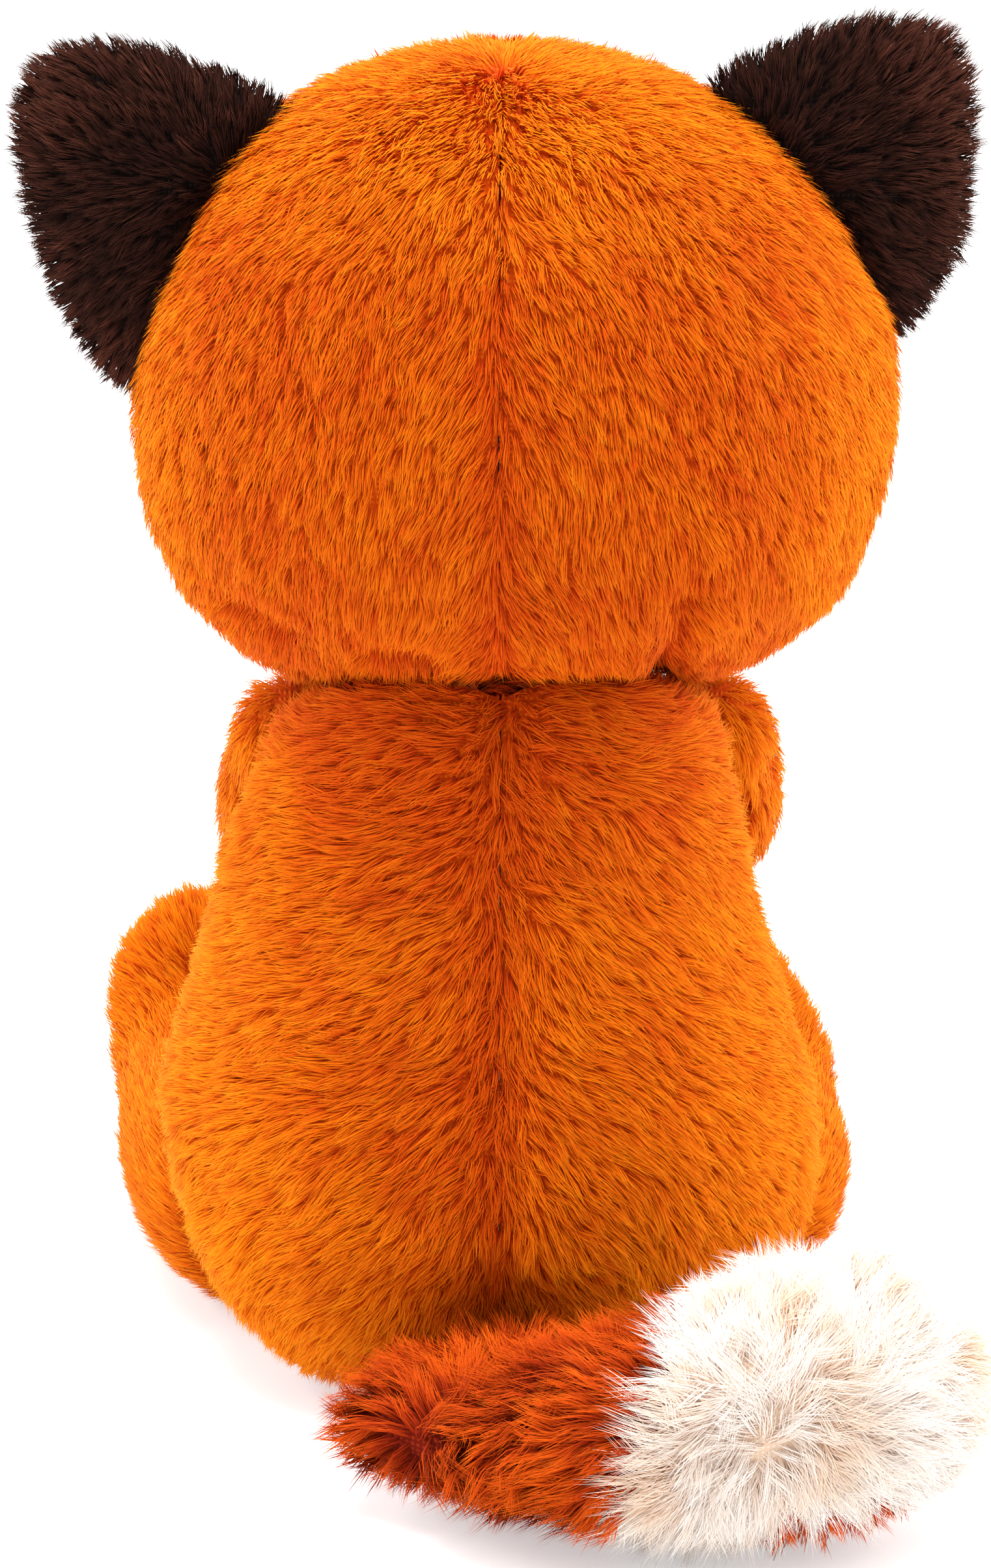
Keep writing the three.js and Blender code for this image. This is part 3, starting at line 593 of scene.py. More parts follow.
def stuffedForm(name, spec):
    whole = bmesh.new()
    for node in spec["nodes"]:
        part = mergedNode(node)
        for vert in part.verts:
            vert.co += vert.normal * gapClose
        mesh = bpy.data.meshes.new("part")
        part.to_mesh(mesh)
        part.free()
        whole.from_mesh(mesh)
        bpy.data.meshes.remove(mesh)
    piece = linked(name + "Form", whole)
    form = remeshed(piece, spec["voxel"])
    for joint, place in jointAt.items():  # fills the hollow that each limb's root turns in
        if joint in spec.get("roots", ()):
            near = [vert for vert in form.verts if (vert.co - place).length < spec["roots"][joint]]
            smoothed(form, near, sinking["rootSmoothing"])
    smoothed(form, form.verts, spec["smoothing"])
    for vert in form.verts:
        vert.co = spec["shaped"](vert.co)
    sunkIn(form, spec)
    seamNames = spec.get("drawnIn", ())
    if name == "head":
        drawnDarts(form)
    if seamNames:
        drawnSeams(form, name, seamNames)
    form.to_mesh(piece.data)
    form.free()
    if seamNames:
        puffedOut(piece, sewnShares(piece, seamNames))
    smoothShaded(piece)
    return piece


def treeOf(piece):
    return BVHTree.FromObject(piece, bpy.context.evaluated_depsgraph_get())


stuffed, trees = {}, {}
for name, spec in forms.items():
    stuffed[name] = stuffedForm(name, spec)
    trees[name] = treeOf(stuffed[name])
print("stuffed forms made", {name: len(piece.data.polygons) for name, piece in stuffed.items()})

snout = {"half": (21, 17, 15), "pileDepth": 1.6}  # mm


def snoutForm():
    low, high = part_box("snout")
    form = bmesh.new()
    bmesh.ops.create_icosphere(form, subdivisions=5, radius=1)
    half = Vector(snout["half"]) * mm - Vector((1, 1, 1)) * snout["pileDepth"] * mm
    bmesh.ops.scale(form, vec=half, verts=form.verts)
    at = (0, low.y + snout["half"][1] * mm, (low.z + high.z) / 2)
    bmesh.ops.translate(form, vec=at, verts=form.verts)
    piece = linked("snoutForm", form)
    smoothShaded(piece)
    return piece


stuffed["snout"] = snoutForm()
trees["snout"] = treeOf(stuffed["snout"])
searching = {"way": (0.31, 0.52, 0.79), "near": 40 * mm}


def crossings(tree, point):
    way, count = Vector(searching["way"]), 0
    while point is not None:
        point, _, _, _ = tree.ray_cast(point, way)
        if point is not None:
            point += way * hair * mm
            count += 1
    return count


def inside(point, names, depth):
    for name in names:
        _, _, _, far = trees[name].find_nearest(point)
        if depth < far < searching["near"] and crossings(trees[name], point) % 2:
            return True
    return False


# how the pile is combed: each gives a direction for every root, which is then laid flat on the cloth
def rows(vector):
    return np.array(vector, float)[None, :]


def unit(vectors):
    return vectors / np.maximum(np.linalg.norm(vectors, axis=1, keepdims=True), 1e-9)


def laidFlat(direction, lie):
    return unit(direction - lie * (direction * lie).sum(1, keepdims=True))


parting = {"wave": 13 * mm, "stray": 1.7 * mm}
# a pair of numbers is an amount and the reach in mm over which it fades, or a ramp's start and end in mm
headComb = {"crown": (0.002, 0.010, 0.236), "down": 0.35, "parted": (1, 9), "tight": (1.2, 1.5), "aside": 0.8,
            "ruffleAt": (0, 0.014, 0.232), "ruffle": (1.2, 9)}
backComb = {"apart": (1.15, 1.5), "slants": (0.36, 0.95), "drop": (0.75, 10), "tight": (1.6, 1.6),
            "low": (60, 0), "lowDrop": 1.2, "high": (100, 120), "highStill": 0.8, "still": (1, 4),
            "ruffle": 0.28, "partingRuffle": (0.9, 4), "nape": (92, 112), "napeRuffle": (0.5, 10)}
brushMiddle = Vector((-42, 122, 34)) * mm
tailComb = {"whorls": 9, "whorlSeed": 5, "aside": 1.3, "seam": (1, 7), "fromMiddle": 0.7, "fromSeam": 2.5,
            "along": (0.5, 0, -0.2), "brushWhorls": 7, "middle": (1, 14), "middleStill": 0.9,
            "ruffle": 0.35, "middleRuffle": (2.2, 11)}
faceMiddle = (0, -0.070, 0.158)
bellySpread = 6


def awayFromSeam(at):  # the parting strays a little from the seam
    stray = np.array([noise.noise(Vector((0, 0, point[2])) / parting["wave"]) for point in at])
    aside = (at @ np.array(seamAcross) + parting["stray"] * stray)[:, None]
    return np.where(aside < 0, -1.0, 1.0), np.abs(aside)


def farFrom(at, place):
    return np.linalg.norm(at - rows(place), axis=1)


def combHead(at, lie):
    side, off = awayFromSeam(at)
    aside = side * rows(seamAcross) * headComb["aside"]
    parted = fading(off, *headComb["parted"]) - fading(off, *headComb["tight"])
    return unit(at - rows(headComb["crown"])) + rows(down) * headComb["down"] + aside * parted


def ruffledHead(at):
    return fading(farFrom(at, headComb["ruffleAt"]), *headComb["ruffle"])


def combBack(at, lie):
    side, off = awayFromSeam(at)
    around = -side * unit(np.cross(rows(up), lie)) * (1 - fading(off, *backComb["apart"]))
    low, high = ramp(at[:, 2:], *backComb["low"]), ramp(at[:, 2:], *backComb["high"])
    slant = np.where(side > 0, *backComb["slants"])
    drop = slant + fading(off, *backComb["drop"]) + backComb["lowDrop"] * low
    drop = drop + fading(off, *backComb["tight"])
    still = backComb["highStill"] * high * (1 - fading(off, *backComb["still"]))
    return around + rows(down) * drop * (1 - still)


def ruffledBack(at):  # the pile stands every way along the parting, most at the nape
    off = awayFromSeam(at)[1][:, 0]
    nape = ramp(at[:, 2], *backComb["nape"]) * fading(off, *backComb["napeRuffle"])
    return backComb["ruffle"] + fading(off, *backComb["partingRuffle"]) + nape


def ruffledBrush(at):
    return tailComb["ruffle"] + fading(farFrom(at, brushMiddle), *tailComb["middleRuffle"])


def whorls(at, count=tailComb["whorls"]):  # from the nearest of a few whorls to each root
    centres = at[np.random.default_rng(tailComb["whorlSeed"]).choice(len(at), count, replace=False)]
    gaps = at[:, None, :] - centres[None]
    far = np.linalg.norm(gaps, axis=2)
    return unit(gaps[np.arange(len(at)), far.argmin(axis=1)]), far.min(axis=1)


def combBrush(at, lie):
    away, _ = whorls(at, tailComb["brushWhorls"])
    close = fading(farFrom(at, brushMiddle), *tailComb["middle"])[:, None]
    outward = unit(at - rows(brushMiddle)) * (1 - tailComb["middleStill"] * close)
    return outward + away * close * tailComb["aside"]


def combTailBase(at, lie):
    away, _ = whorls(at)
    place, across = seams["white"]
    close = fading((rows(place) - at) @ np.array(across), *tailComb["seam"])[:, None]
    outward = unit(at - rows(brushMiddle)) * (tailComb["fromMiddle"] + tailComb["fromSeam"] * close)
    return away * tailComb["aside"] * (1 - close) + outward + rows(tailComb["along"])


def combBelly(at, lie):
    return rows(down) + rows((1, 0, 0)) * at[:, :1] * bellySpread


def combSeat(at, lie):
    return unit(at * np.array((1, 1, 0)))


def combTowards(aim):
    def comb(at, lie):
        return rows(aim)
    return comb


def combFrom(centre):
    def comb(at, lie):
        return unit(at - rows(centre))
    return comb


# locks of pile: a few tapering blades that start together, lie over and come closer at their tips
locks = {
    "short": {"blades": 10, "joints": 2, "length": 5.5 * mm, "rise": 2.4 * mm, "width": 1.35 * mm,
              "rootLength": 1.6 * mm, "blade": 0.25 * mm, "gather": 0.75, "stray": 0.3 * mm, "kinds": 6,
              "seed": 11},
    "ear": {"blades": 10, "joints": 2, "length": 5 * mm, "rise": 2.8 * mm, "width": 1.4 * mm,
            "rootLength": 1.5 * mm, "blade": 0.23 * mm, "gather": 0.65, "stray": 0.35 * mm, "kinds": 6,
            "seed": 23},
    "nap": {"blades": 8, "joints": 1, "length": 3.2 * mm, "rise": 1.7 * mm, "width": 1.3 * mm,
            "rootLength": 1.2 * mm, "blade": 0.3 * mm, "gather": 0.8, "stray": 0.2 * mm, "kinds": 4,
            "seed": 31},
    "shaggy": {"blades": 14, "joints": 2, "length": 8 * mm, "rise": 4.4 * mm, "width": 2 * mm,
               "rootLength": 2 * mm, "blade": 0.24 * mm, "gather": 0.5, "stray": 0.8 * mm, "kinds": 6,
               "seed": 43},
    "fluffy": {"blades": 16, "joints": 2, "length": 9 * mm, "rise": 3.4 * mm, "width": 2.4 * mm,
               "rootLength": 3 * mm, "blade": 0.17 * mm, "gather": 1, "stray": 0.9 * mm, "kinds": 6,
               "seed": 57},
}
bladeSpread = {"lengths": (0.72, 1.08), "rises": (0.55, 1.2), "rolls": (-0.9, 0.9), "shades": (-0.14, 0.14),
               "edgeShade": 0.06, "bend": 1.15, "sunk": 0.4 * mm}


def makeLock(name, lock, dice):
    form = bmesh.new()
    along = form.verts.layers.float.new("along")
    across = form.verts.layers.float.new("across")
    for _ in range(lock["blades"]):
        blade = bmesh.ops.create_grid(form, x_segments=1, y_segments=lock["joints"], size=0.5)["verts"]
        rootX = dice.uniform(-0.5, 0.5) * lock["rootLength"]
        rootY = dice.uniform(-0.5, 0.5) * lock["width"]
        tipY = rootY * lock["gather"] + dice.uniform(-1, 1) * lock["stray"]
        length = lock["length"] * dice.uniform(*bladeSpread["lengths"])
        rise = lock["rise"] * dice.uniform(*bladeSpread["rises"])
        roll = dice.uniform(*bladeSpread["rolls"])
        shade = dice.uniform(*bladeSpread["shades"])
        for vert in blade:
            share = vert.co.y + 0.5
            half = vert.co.x * lock["blade"] * (1 - share ** 2)
            vert[along] = share
            vert[across] = shade + vert.co.x * bladeSpread["edgeShade"]
            height = rise * (1 - (1 - share) ** 2) - bladeSpread["sunk"]
            vert.co = (rootX + length * share ** bladeSpread["bend"],
                       rootY + (tipY - rootY) * share - half * math.cos(roll), height + half * math.sin(roll))
    bmesh.ops.remove_doubles(form, verts=form.verts, dist=weldGap)
    return linked(name, form)


def geometryTree(name):
    tree = bpy.data.node_groups.new(name, "GeometryNodeTree")
    for way in ("INPUT", "OUTPUT"):
        tree.interface.new_socket("Geometry", in_out=way, socket_type="NodeSocketGeometry")
    return tree, tree.nodes.new("NodeGroupInput").outputs[0], tree.nodes.new("NodeGroupOutput")


def evenRoots(spacing, seed):
    tree, start, end = geometryTree("evenRoots")
    spread = {"Mesh": start, "Distance Min": spacing, "Seed": seed,
              "Density Max": growth["crowding"] / spacing ** 2}
    spread = added(tree, "GeometryNodeDistributePointsOnFaces", spread, distribute_method="POISSON")
    loose = added(tree, "GeometryNodePointsToVertices", {"Points": spread.outputs["Points"]})
    fed(tree, end, {0: loose.outputs[0]})
    return tree


def attribute(tree, kind, name):
    return added(tree, "GeometryNodeInputNamedAttribute", {"Name": name}, data_type=kind).outputs["Attribute"]


def plantedLocks(kinds, wander, curlSize):
    tree, start, end = geometryTree("plantedLocks")
    join = added(tree, "GeometryNodeJoinGeometry", {})
    for lock in kinds:
        info = added(tree, "GeometryNodeObjectInfo", {"Object": lock, "As Instance": True})
        tree.links.new(info.outputs["Geometry"], join.inputs["Geometry"])
    plant = added(tree, "GeometryNodeInstanceOnPoints",
                  {"Points": start, "Instance": join.outputs[0], "Pick Instance": True,
                   "Instance Index": attribute(tree, "INT", "kind"),
                   "Rotation": attribute(tree, "FLOAT_VECTOR", "turn"),
                   "Scale": attribute(tree, "FLOAT_VECTOR", "size")})
    real = added(tree, "GeometryNodeRealizeInstances", {0: plant.outputs[0]})

    along = attribute(tree, "FLOAT", "along")  # blades wander more towards their tips
    curl = added(tree, "ShaderNodeTexNoise", {"Scale": 1 / curlSize}).outputs["Color"]
    centred = added(tree, "ShaderNodeVectorMath", {0: curl, 1: (0.5, 0.5, 0.5)}, operation="SUBTRACT")
    push = {0: centred.outputs["Vector"], "Scale": computed(tree, "MULTIPLY", along, wander)}
    push = added(tree, "ShaderNodeVectorMath", push, operation="SCALE").outputs["Vector"]
    move = added(tree, "GeometryNodeSetPosition", {"Geometry": real.outputs[0], "Offset": push})

    tone = computed(tree, "ADD", attribute(tree, "FLOAT", "tone"), attribute(tree, "FLOAT", "across"), True)
    both = added(tree, "ShaderNodeCombineXYZ", {"X": tone, "Y": along}).outputs[0]
    store = added(tree, "GeometryNodeStoreNamedAttribute",
                  {"Geometry": move.outputs[0], "Name": "OFBake", "Value": both}, data_type="FLOAT2",
                  domain="CORNER")
    fed(tree, end, {0: store.outputs[0]})
    return tree


lockPieces = {}
for name, lock in locks.items():
    dice = random.Random(lock["seed"])
    lockPieces[name] = [makeLock(f"{name}Lock{number}", lock, dice) for number in range(lock["kinds"])]


def noiseAt(at, size):
    return np.array([noise.noise_vector(Vector(point) / size) for point in at])


def withValues(mesh, name, kind, found):
    layer = mesh.attributes.new(name, kind, "POINT")
    layer.data.foreach_set("vector" if kind == "FLOAT_VECTOR" else "value", found.ravel())


# how locks differ: by broad and fine waves over the cloth, at random, and with the ruffle of a place
growth = {"crowding": 1.8, "broad": 11 * mm, "fine": 3.2 * mm, "broadTurn": 1.1, "fineTurn": 0.6,
          "ruffleTurn": 0.5, "ruffleMess": 2, "looseLean": 0.6, "fineLean": 0.25, "ruffleLean": 0.16,
          "broadLong": 0.16, "looseLong": 0.14, "width": 0.85, "moreWidth": 0.3, "height": 0.8,
          "moreHeight": 0.4, "sizes": (0.3, 2), "broadTone": 0.24, "fineTone": 0.2, "looseTone": 0.1,
          "tones": (0.02, 0.98), "curl": (1.6 * mm, 5 * mm), "tuckedIn": 0.8 * mm,
          "softness": 0.62,  # how far a blade is shaded like the cloth under it
          "waveSeed": 7}
noise.seed_set(growth["waveSeed"])  # or the clock would place the waves, anew in each run


def grownPile(name, cloth, body, pile):
    roots = bpy.data.objects.new(name, cloth.data.copy())
    scene.collection.objects.link(roots)
    normals = values(roots.data.vertices, "normal", 3)
    withValues(roots.data, "lie", "FLOAT_VECTOR", normals.astype(np.float32))
    seed = sum(map(ord, name))
    roots.modifiers.new("roots", "NODES").node_group = evenRoots(pile["spacing"], seed)
    settled(roots)
    at = values(roots.data.vertices, "co", 3)
    lie = unit(values(roots.data.attributes["lie"].data, "vector", 3))
    if "where" in pile:
        kept = pile["where"](at)
        at, lie = at[kept], lie[kept]
    if pile.get("hidden"):
        tuckedIn = pile.get("tuckedIn", growth["tuckedIn"])
        shown = np.array([not inside(Vector(point), pile["hidden"], tuckedIn) for point in at])
        at, lie = at[shown], lie[shown]

    chance = np.random.default_rng(seed)
    count = len(at)
    mess = pile["mess"]
    broad, fine = noiseAt(at, growth["broad"]), noiseAt(at + 1, growth["fine"])
    ruffle = pile["ruffle"](at) if "ruffle" in pile else np.zeros(count)
    swirl = pile["swirl"] + ruffle * growth["ruffleTurn"]
    turn = (swirl * (broad[:, 0] * growth["broadTurn"] + fine[:, 0] * growth["fineTurn"])
            + mess * (1 + growth["ruffleMess"] * ruffle) * chance.normal(0, 1, count))
    lean = (pile.get("lean", 0) + mess * growth["looseLean"] * chance.normal(0, 1, count)
            + growth["fineLean"] * fine[:, 1] + growth["ruffleLean"] * ruffle)
    forward = laidFlat(pile["comb"](at, lie), lie)
    sideways = np.cross(lie, forward)
    forward = forward * np.cos(turn)[:, None] + sideways * np.sin(turn)[:, None]
    sideways = np.cross(lie, forward)
    tipped = forward * np.cos(lean)[:, None] + lie * np.sin(lean)[:, None]
    above = np.cross(tipped, sideways)
    angles = np.stack((np.arctan2(sideways[:, 2], above[:, 2]), -np.arcsin(np.clip(tipped[:, 2], -1, 1)),
                       np.arctan2(tipped[:, 1], tipped[:, 0])), axis=1)
    loose = growth["looseLong"] * chance.normal(0, 1, count)
    long = pile["length"] * (1 + growth["broadLong"] * broad[:, 2] + loose)
    width = growth["width"] + growth["moreWidth"] * chance.random(count)
    height = pile.get("height", 1) * (growth["height"] + growth["moreHeight"] * chance.random(count))
    size = np.clip(np.stack((long, width, height), axis=1), *growth["sizes"])
    # a panel's tone paints light and shade on the head, the back, the limbs and the tail base; the waves and
    # chance below are tone at random
    tone = pile["tone"](at) if callable(pile["tone"]) else np.full(count, pile["tone"])
    tone = tone + growth["broadTone"] * broad[:, 1] + growth["fineTone"] * fine[:, 2]
    tone = tone + growth["looseTone"] * chance.normal(0, 1, count)

    mesh = bpy.data.meshes.new(name)
    mesh.vertices.add(count)
    mesh.vertices.foreach_set("co", at.astype(np.float32).ravel())
    withValues(mesh, "turn", "FLOAT_VECTOR", angles.astype(np.float32))
    withValues(mesh, "lie", "FLOAT_VECTOR", lie.astype(np.float32))
    withValues(mesh, "size", "FLOAT_VECTOR", size.astype(np.float32))
    withValues(mesh, "tone", "FLOAT", np.clip(tone, *growth["tones"]).astype(np.float32))
    kinds = lockPieces[pile["lock"]]
    withValues(mesh, "kind", "INT", chance.integers(0, len(kinds), count).astype(np.int32))
    old, roots.data = roots.data, mesh
    bpy.data.meshes.remove(old)
    curl = pile.get("curl", growth["curl"])
    roots.modifiers.new("locks", "NODES").node_group = plantedLocks(kinds, *curl)
    settled(roots)
    own = values(roots.data.vertices, "normal", 3)
    clothLie = values(roots.data.attributes["lie"].data, "vector", 3)
    for layer in ("along", "across", "tone", "lie"):
        roots.data.attributes.remove(roots.data.attributes[layer])
    roots.data.materials.clear()
    roots.data.materials.append(pileMaterials[pile["plush"]])
    smoothShaded(roots)
    soft = pile.get("softness", growth["softness"])
    normals = unit(own * (1 - soft) + clothLie * soft).astype(np.float32)
    roots.data.normals_split_custom_set_from_vertices(normals)
    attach(roots, body)
    roots.data.calc_loop_triangles()
    return len(roots.data.loop_triangles)


def cutPanel(name, form, cuts):  # a panel is what lies on the given side of each seam
    panel = bmesh.new()
    panel.from_mesh(stuffed[form].data)
    for seam, way in cuts:
        place, across = seams[seam]
        across = across * way
        bmesh.ops.bisect_plane(panel, geom=panel.verts[:] + panel.edges[:] + panel.faces[:], dist=1e-7,
                               plane_co=place + across * seamHalf * mm, plane_no=across, clear_inner=True)
    return linked(name, panel)


seamHalf = 0.15  # half the gap between two panels, in mm
# pairs as for the combs: an amount and its reach in mm, or a ramp's start and end in mm
# the head's tones paint shade at the parting and the darts, and light at the crown, the sides and the top of
# the forehead
headShades = {"plain": 0.3, "top": (200, 226), "rim": (44, 60), "bright": 0.66, "parting": (0.42, 2),
              "dart": (0.4, 2), "forehead": 0.44, "foreheadTop": (192, 228), "foreheadLight": 0.5}
# the back's tones paint shade at the parting and under the head, and light at the flanks, on the right side
# and low down
backShades = {"plain": 0.38, "right": 0.16, "clumps": 0.2, "clumpSize": 6 * mm, "parting": (0.62, 4.4),
              "rim": (26, 46), "bright": 0.45, "nape": (92, 118), "napeShade": 0.4, "napeRim": 0.8,
              "low": (56, 16), "lowLight": 0.4}
# the base's hollow is painted shade; the brush's peach patches are its own colour
tailShades = {"base": 0.46, "hollow": (0.44, 5), "brush": 0.78, "peach": 0.9, "patch": 11 * mm,
              "patches": 2, "patchFrom": 0.1}
earShades = {"foot": (44, -2, 206), "plain": 0.02, "bright": 0.8, "outer": (14, 48), "bend": 1.4}
underside = {"wave": 9 * mm, "waveHigh": 6 * mm, "middle": (-72 * mm, -38 * mm), "middleHigh": 14 * mm,
             "high": 6 * mm, "end": -76 * mm, "endAt": 17 * mm}


def headPaintedShading(at):  # painted shade: duller where the pile parts and along the darts; painted light: brighter at the crown and the rim
    off = awayFromSeam(at)[1][:, 0]
    top, rim = ramp(at[:, 2], *headShades["top"]), ramp(off, *headShades["rim"])
    dull = fading(off, *headShades["parting"]) * (1 - top) + fading(dartGap(at), *headShades["dart"])
    return headShades["plain"] - dull + headShades["bright"] * np.maximum(top, rim)


# painted light: brighter towards the crown
def foreheadPaintedLight(at):
    return headShades["forehead"] + headShades["foreheadLight"] * ramp(at[:, 2], *headShades["foreheadTop"])


def backPaintedShading(at):  # painted shade: also duller where the pile parts and under the head; painted light: brighter at the flanks, on the right side and low down; the clumps are tone at random
    side, off = awayFromSeam(at)
    off = off[:, 0]
    rim = ramp(off, *backShades["rim"])
    nape = ramp(at[:, 2], *backShades["nape"]) * (1 - backShades["napeRim"] * rim)
    right = backShades["right"] * (side[:, 0] < 0)
    clumps = backShades["clumps"] * noiseAt(at, backShades["clumpSize"])[:, 0]
    shade = backShades["plain"] + right + clumps - fading(off, *backShades["parting"])
    shade = shade + backShades["bright"] * rim - backShades["napeShade"] * nape
    return shade + backShades["lowLight"] * ramp(at[:, 2], *backShades["low"])


def basePaintedHollowShade(at):  # painted shade: dark hollows at the whorls
    return tailShades["base"] - fading(whorls(at)[1], *tailShades["hollow"])


def brushShade(at):  # the white brush keeps some peach among its locks
    patches = noiseAt(at, tailShades["patch"])[:, 0] * tailShades["patches"] + tailShades["patchFrom"]
    return tailShades["brush"] + tailShades["peach"] * np.minimum(0, patches)


def earShade(sign):  # darkest beside the head
    x, y, z = earShades["foot"]

    def shade(at):
        outer = ramp(farFrom(at, (x * mm * sign, y * mm, z * mm)), *earShades["outer"])
        return earShades["plain"] + earShades["bright"] * outer ** earShades["bend"]
    return shade


def isUnderside(at):  # orange cloth shows along the bottom of the brush and at its far end
    edge = underside["waveHigh"] * noiseAt(at, underside["wave"])[:, 0]
    start, end = underside["middle"]
    low = np.where((at[:, 0] > start) & (at[:, 0] < end), underside["middleHigh"], underside["high"])
    atEnd = np.abs(at[:, 2] - underside["endAt"]) + edge < underside["high"]
    return (at[:, 2] + edge < low) | ((at[:, 0] < underside["end"]) & atEnd)


def isTopside(at):
    return ~isUnderside(at)


# each panel: its form, node and body, the seams it is cut along with the side it keeps, and its pile
shortPile = {"plush": "orangePile", "lock": "short", "spacing": 1 * mm, "length": 1, "swirl": 0.4,
             "mess": 0.1}
# the limbs take a bright tone throughout: painted light
limbPile = dict(shortPile, spacing=1.1 * mm, length=0.9, mess=0.12, tone=0.85)
brownPile = dict(limbPile, plush="brownPile")
earPile = dict(brownPile, lock="ear", spacing=0.95 * mm, swirl=0.5, mess=0.16, hidden=("head",),
               tuckedIn=3 * mm)
backPile = dict(shortPile, comb=combBack, tone=backPaintedShading, ruffle=ruffledBack, tuckedIn=2 * mm)
headPile = dict(shortPile, spacing=1.04 * mm, length=0.85, comb=combHead, tone=headPaintedShading, ruffle=ruffledHead,
                hidden=("body",), tuckedIn=2.5 * mm)
facePile = dict(shortPile, plush="creamPile", comb=combFrom(faceMiddle), hidden=("snout",))
tailPile = {"plush": "rustPile", "lock": "shaggy", "spacing": 1.4 * mm, "swirl": 0.8,
            "curl": (4 * mm, 7 * mm)}
brushPile = {"plush": "creamPile", "lock": "fluffy", "spacing": 1.05 * mm, "length": 1, "swirl": 0.8,
             "mess": 0.22, "lean": 0.05, "ruffle": ruffledBrush, "comb": combBrush, "tone": brushShade,
             "curl": (3 * mm, 6 * mm), "softness": 0.85, "where": isTopside}
limbs = ("arm_left", "arm_right", "leg_left", "leg_right")
panels = {}
for side, sign in sides:
    panels["back" + side] = ("body", "back_panel_" + side.lower(), "body",
                             (("back", sign), ("side", 1), ("seat", 1)), dict(backPile, hidden=limbs))
panels["belly"] = ("body", "belly_panel", "body", (("side", -1), ("seat", 1)),
                   dict(shortPile, plush="creamPile", spacing=1.5 * mm, comb=combBelly, tone=0.85,
                        hidden=limbs))
panels["seat"] = ("body", "seat_panel", "body", (("seat", -1),),
                  dict(shortPile, lock="nap", spacing=1.9 * mm, height=0.5, comb=combSeat, tone=0.35,
                       hidden=limbs))
for side, sign in sides:
    panels["headBack" + side] = ("head", "head_back_" + side.lower(), "head", (("back", sign), ("side", 1)),
                                 headPile)
panels["forehead"] = ("head", "forehead", "head", (("side", -1), ("cheekLeft", 1), ("cheekRight", 1)),
                      dict(facePile, plush="orangePile", spacing=1.4 * mm, tone=foreheadPaintedLight))
for side, sign in sides:
    panels["cheek" + side] = ("head", "cheek_" + side.lower(), "head",
                              (("side", -1), ("cheek" + side, -1), ("front", sign)),
                              dict(facePile, spacing=1.45 * mm, tone=0.88))
panels["snout"] = ("snout", "snout", "head", (),
                   dict(facePile, lock="nap", spacing=1.1 * mm, tone=0.9, hidden=("head",)))
panels["tailBase"] = ("tail", "tail_base", "tail_body", (("white", -1),),
                      dict(tailPile, length=1, mess=0.25, lean=0.12, comb=combTailBase, tone=basePaintedHollowShade,
                           hidden=("body",)))
panels["tailBrush"] = ("tail", "tail_brush", "tail_body", (("white", 1),), brushPile)
for side, sign in sides:
    low = side.lower()
    armComb, pawComb = combTowards((0, -0.35, -0.9)), combTowards((-0.2 * sign, -0.75, -0.6))
    legComb, soleComb = combTowards((0.35 * sign, -0.7, 0.45)), combTowards((0, 0, -1))
    earComb = combFrom((0.045 * sign, -0.002, 0.208))
    panels["arm" + side] = ("arm_" + low, "arm_" + low, f"arm_{low}_body", (("paw" + side, -1),),
                            dict(limbPile, height=0.8, comb=armComb, hidden=("body",), tuckedIn=2 * mm))
    panels["paw" + side] = ("arm_" + low, "paw_" + low, f"arm_{low}_body", (("paw" + side, 1),),
                            dict(brownPile, comb=pawComb, tone=0.5))
    panels["leg" + side] = ("leg_" + low, "leg_" + low, f"leg_{low}_body", (),
                            dict(limbPile, comb=legComb, hidden=("body", "sole_" + low)))
    panels["sole" + side] = ("sole_" + low, "sole_" + low, f"leg_{low}_body", (),
                             dict(brownPile, lock="nap", comb=soleComb, hidden=("leg_" + low,)))
    for part, way in (("Back", 1), ("Lining", -1)):
        panels["ear" + part + side] = ("ear_" + low, f"ear_{part.lower()}_{low}", f"ear_{low}_body",
                                       (("ear" + side, way),),
                                       dict(earPile, comb=earComb, tone=earShade(sign)))

brushCloth = cutPanel("brushCloth", "tail", (("white", 1),))
clothDepth = 1.5 * mm
total = grownPile("brushUndersidePile", brushCloth, "tail_body",
                  dict(tailPile, length=0.8, mess=0.3, comb=combFrom(brushMiddle), tone=0.6,
                       where=isUnderside))
removed(brushCloth)
for name, (form, node, body, cuts, pile) in panels.items():
    panel = cutPanel(name, form, cuts)
    grown = grownPile(name + "Pile", panel, body, pile)
    thick = panel.modifiers.new("cloth", "SOLIDIFY")
    thick.thickness = clothDepth
    thick.offset = -1
    if cuts or form == "snout":
        settled(panel)
    else:
        panel.modifiers.clear()
    panel.data.materials.clear()
    panel.data.materials.append(backings[pile["plush"]])
    smoothShaded(panel)
    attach(panel, body)
    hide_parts(node)
    total += grown
    print(name, "pile triangles", grown)
for kinds in lockPieces.values():
    for lock in kinds:
        removed(lock)
print("plush covers made,", total, "triangles of pile")

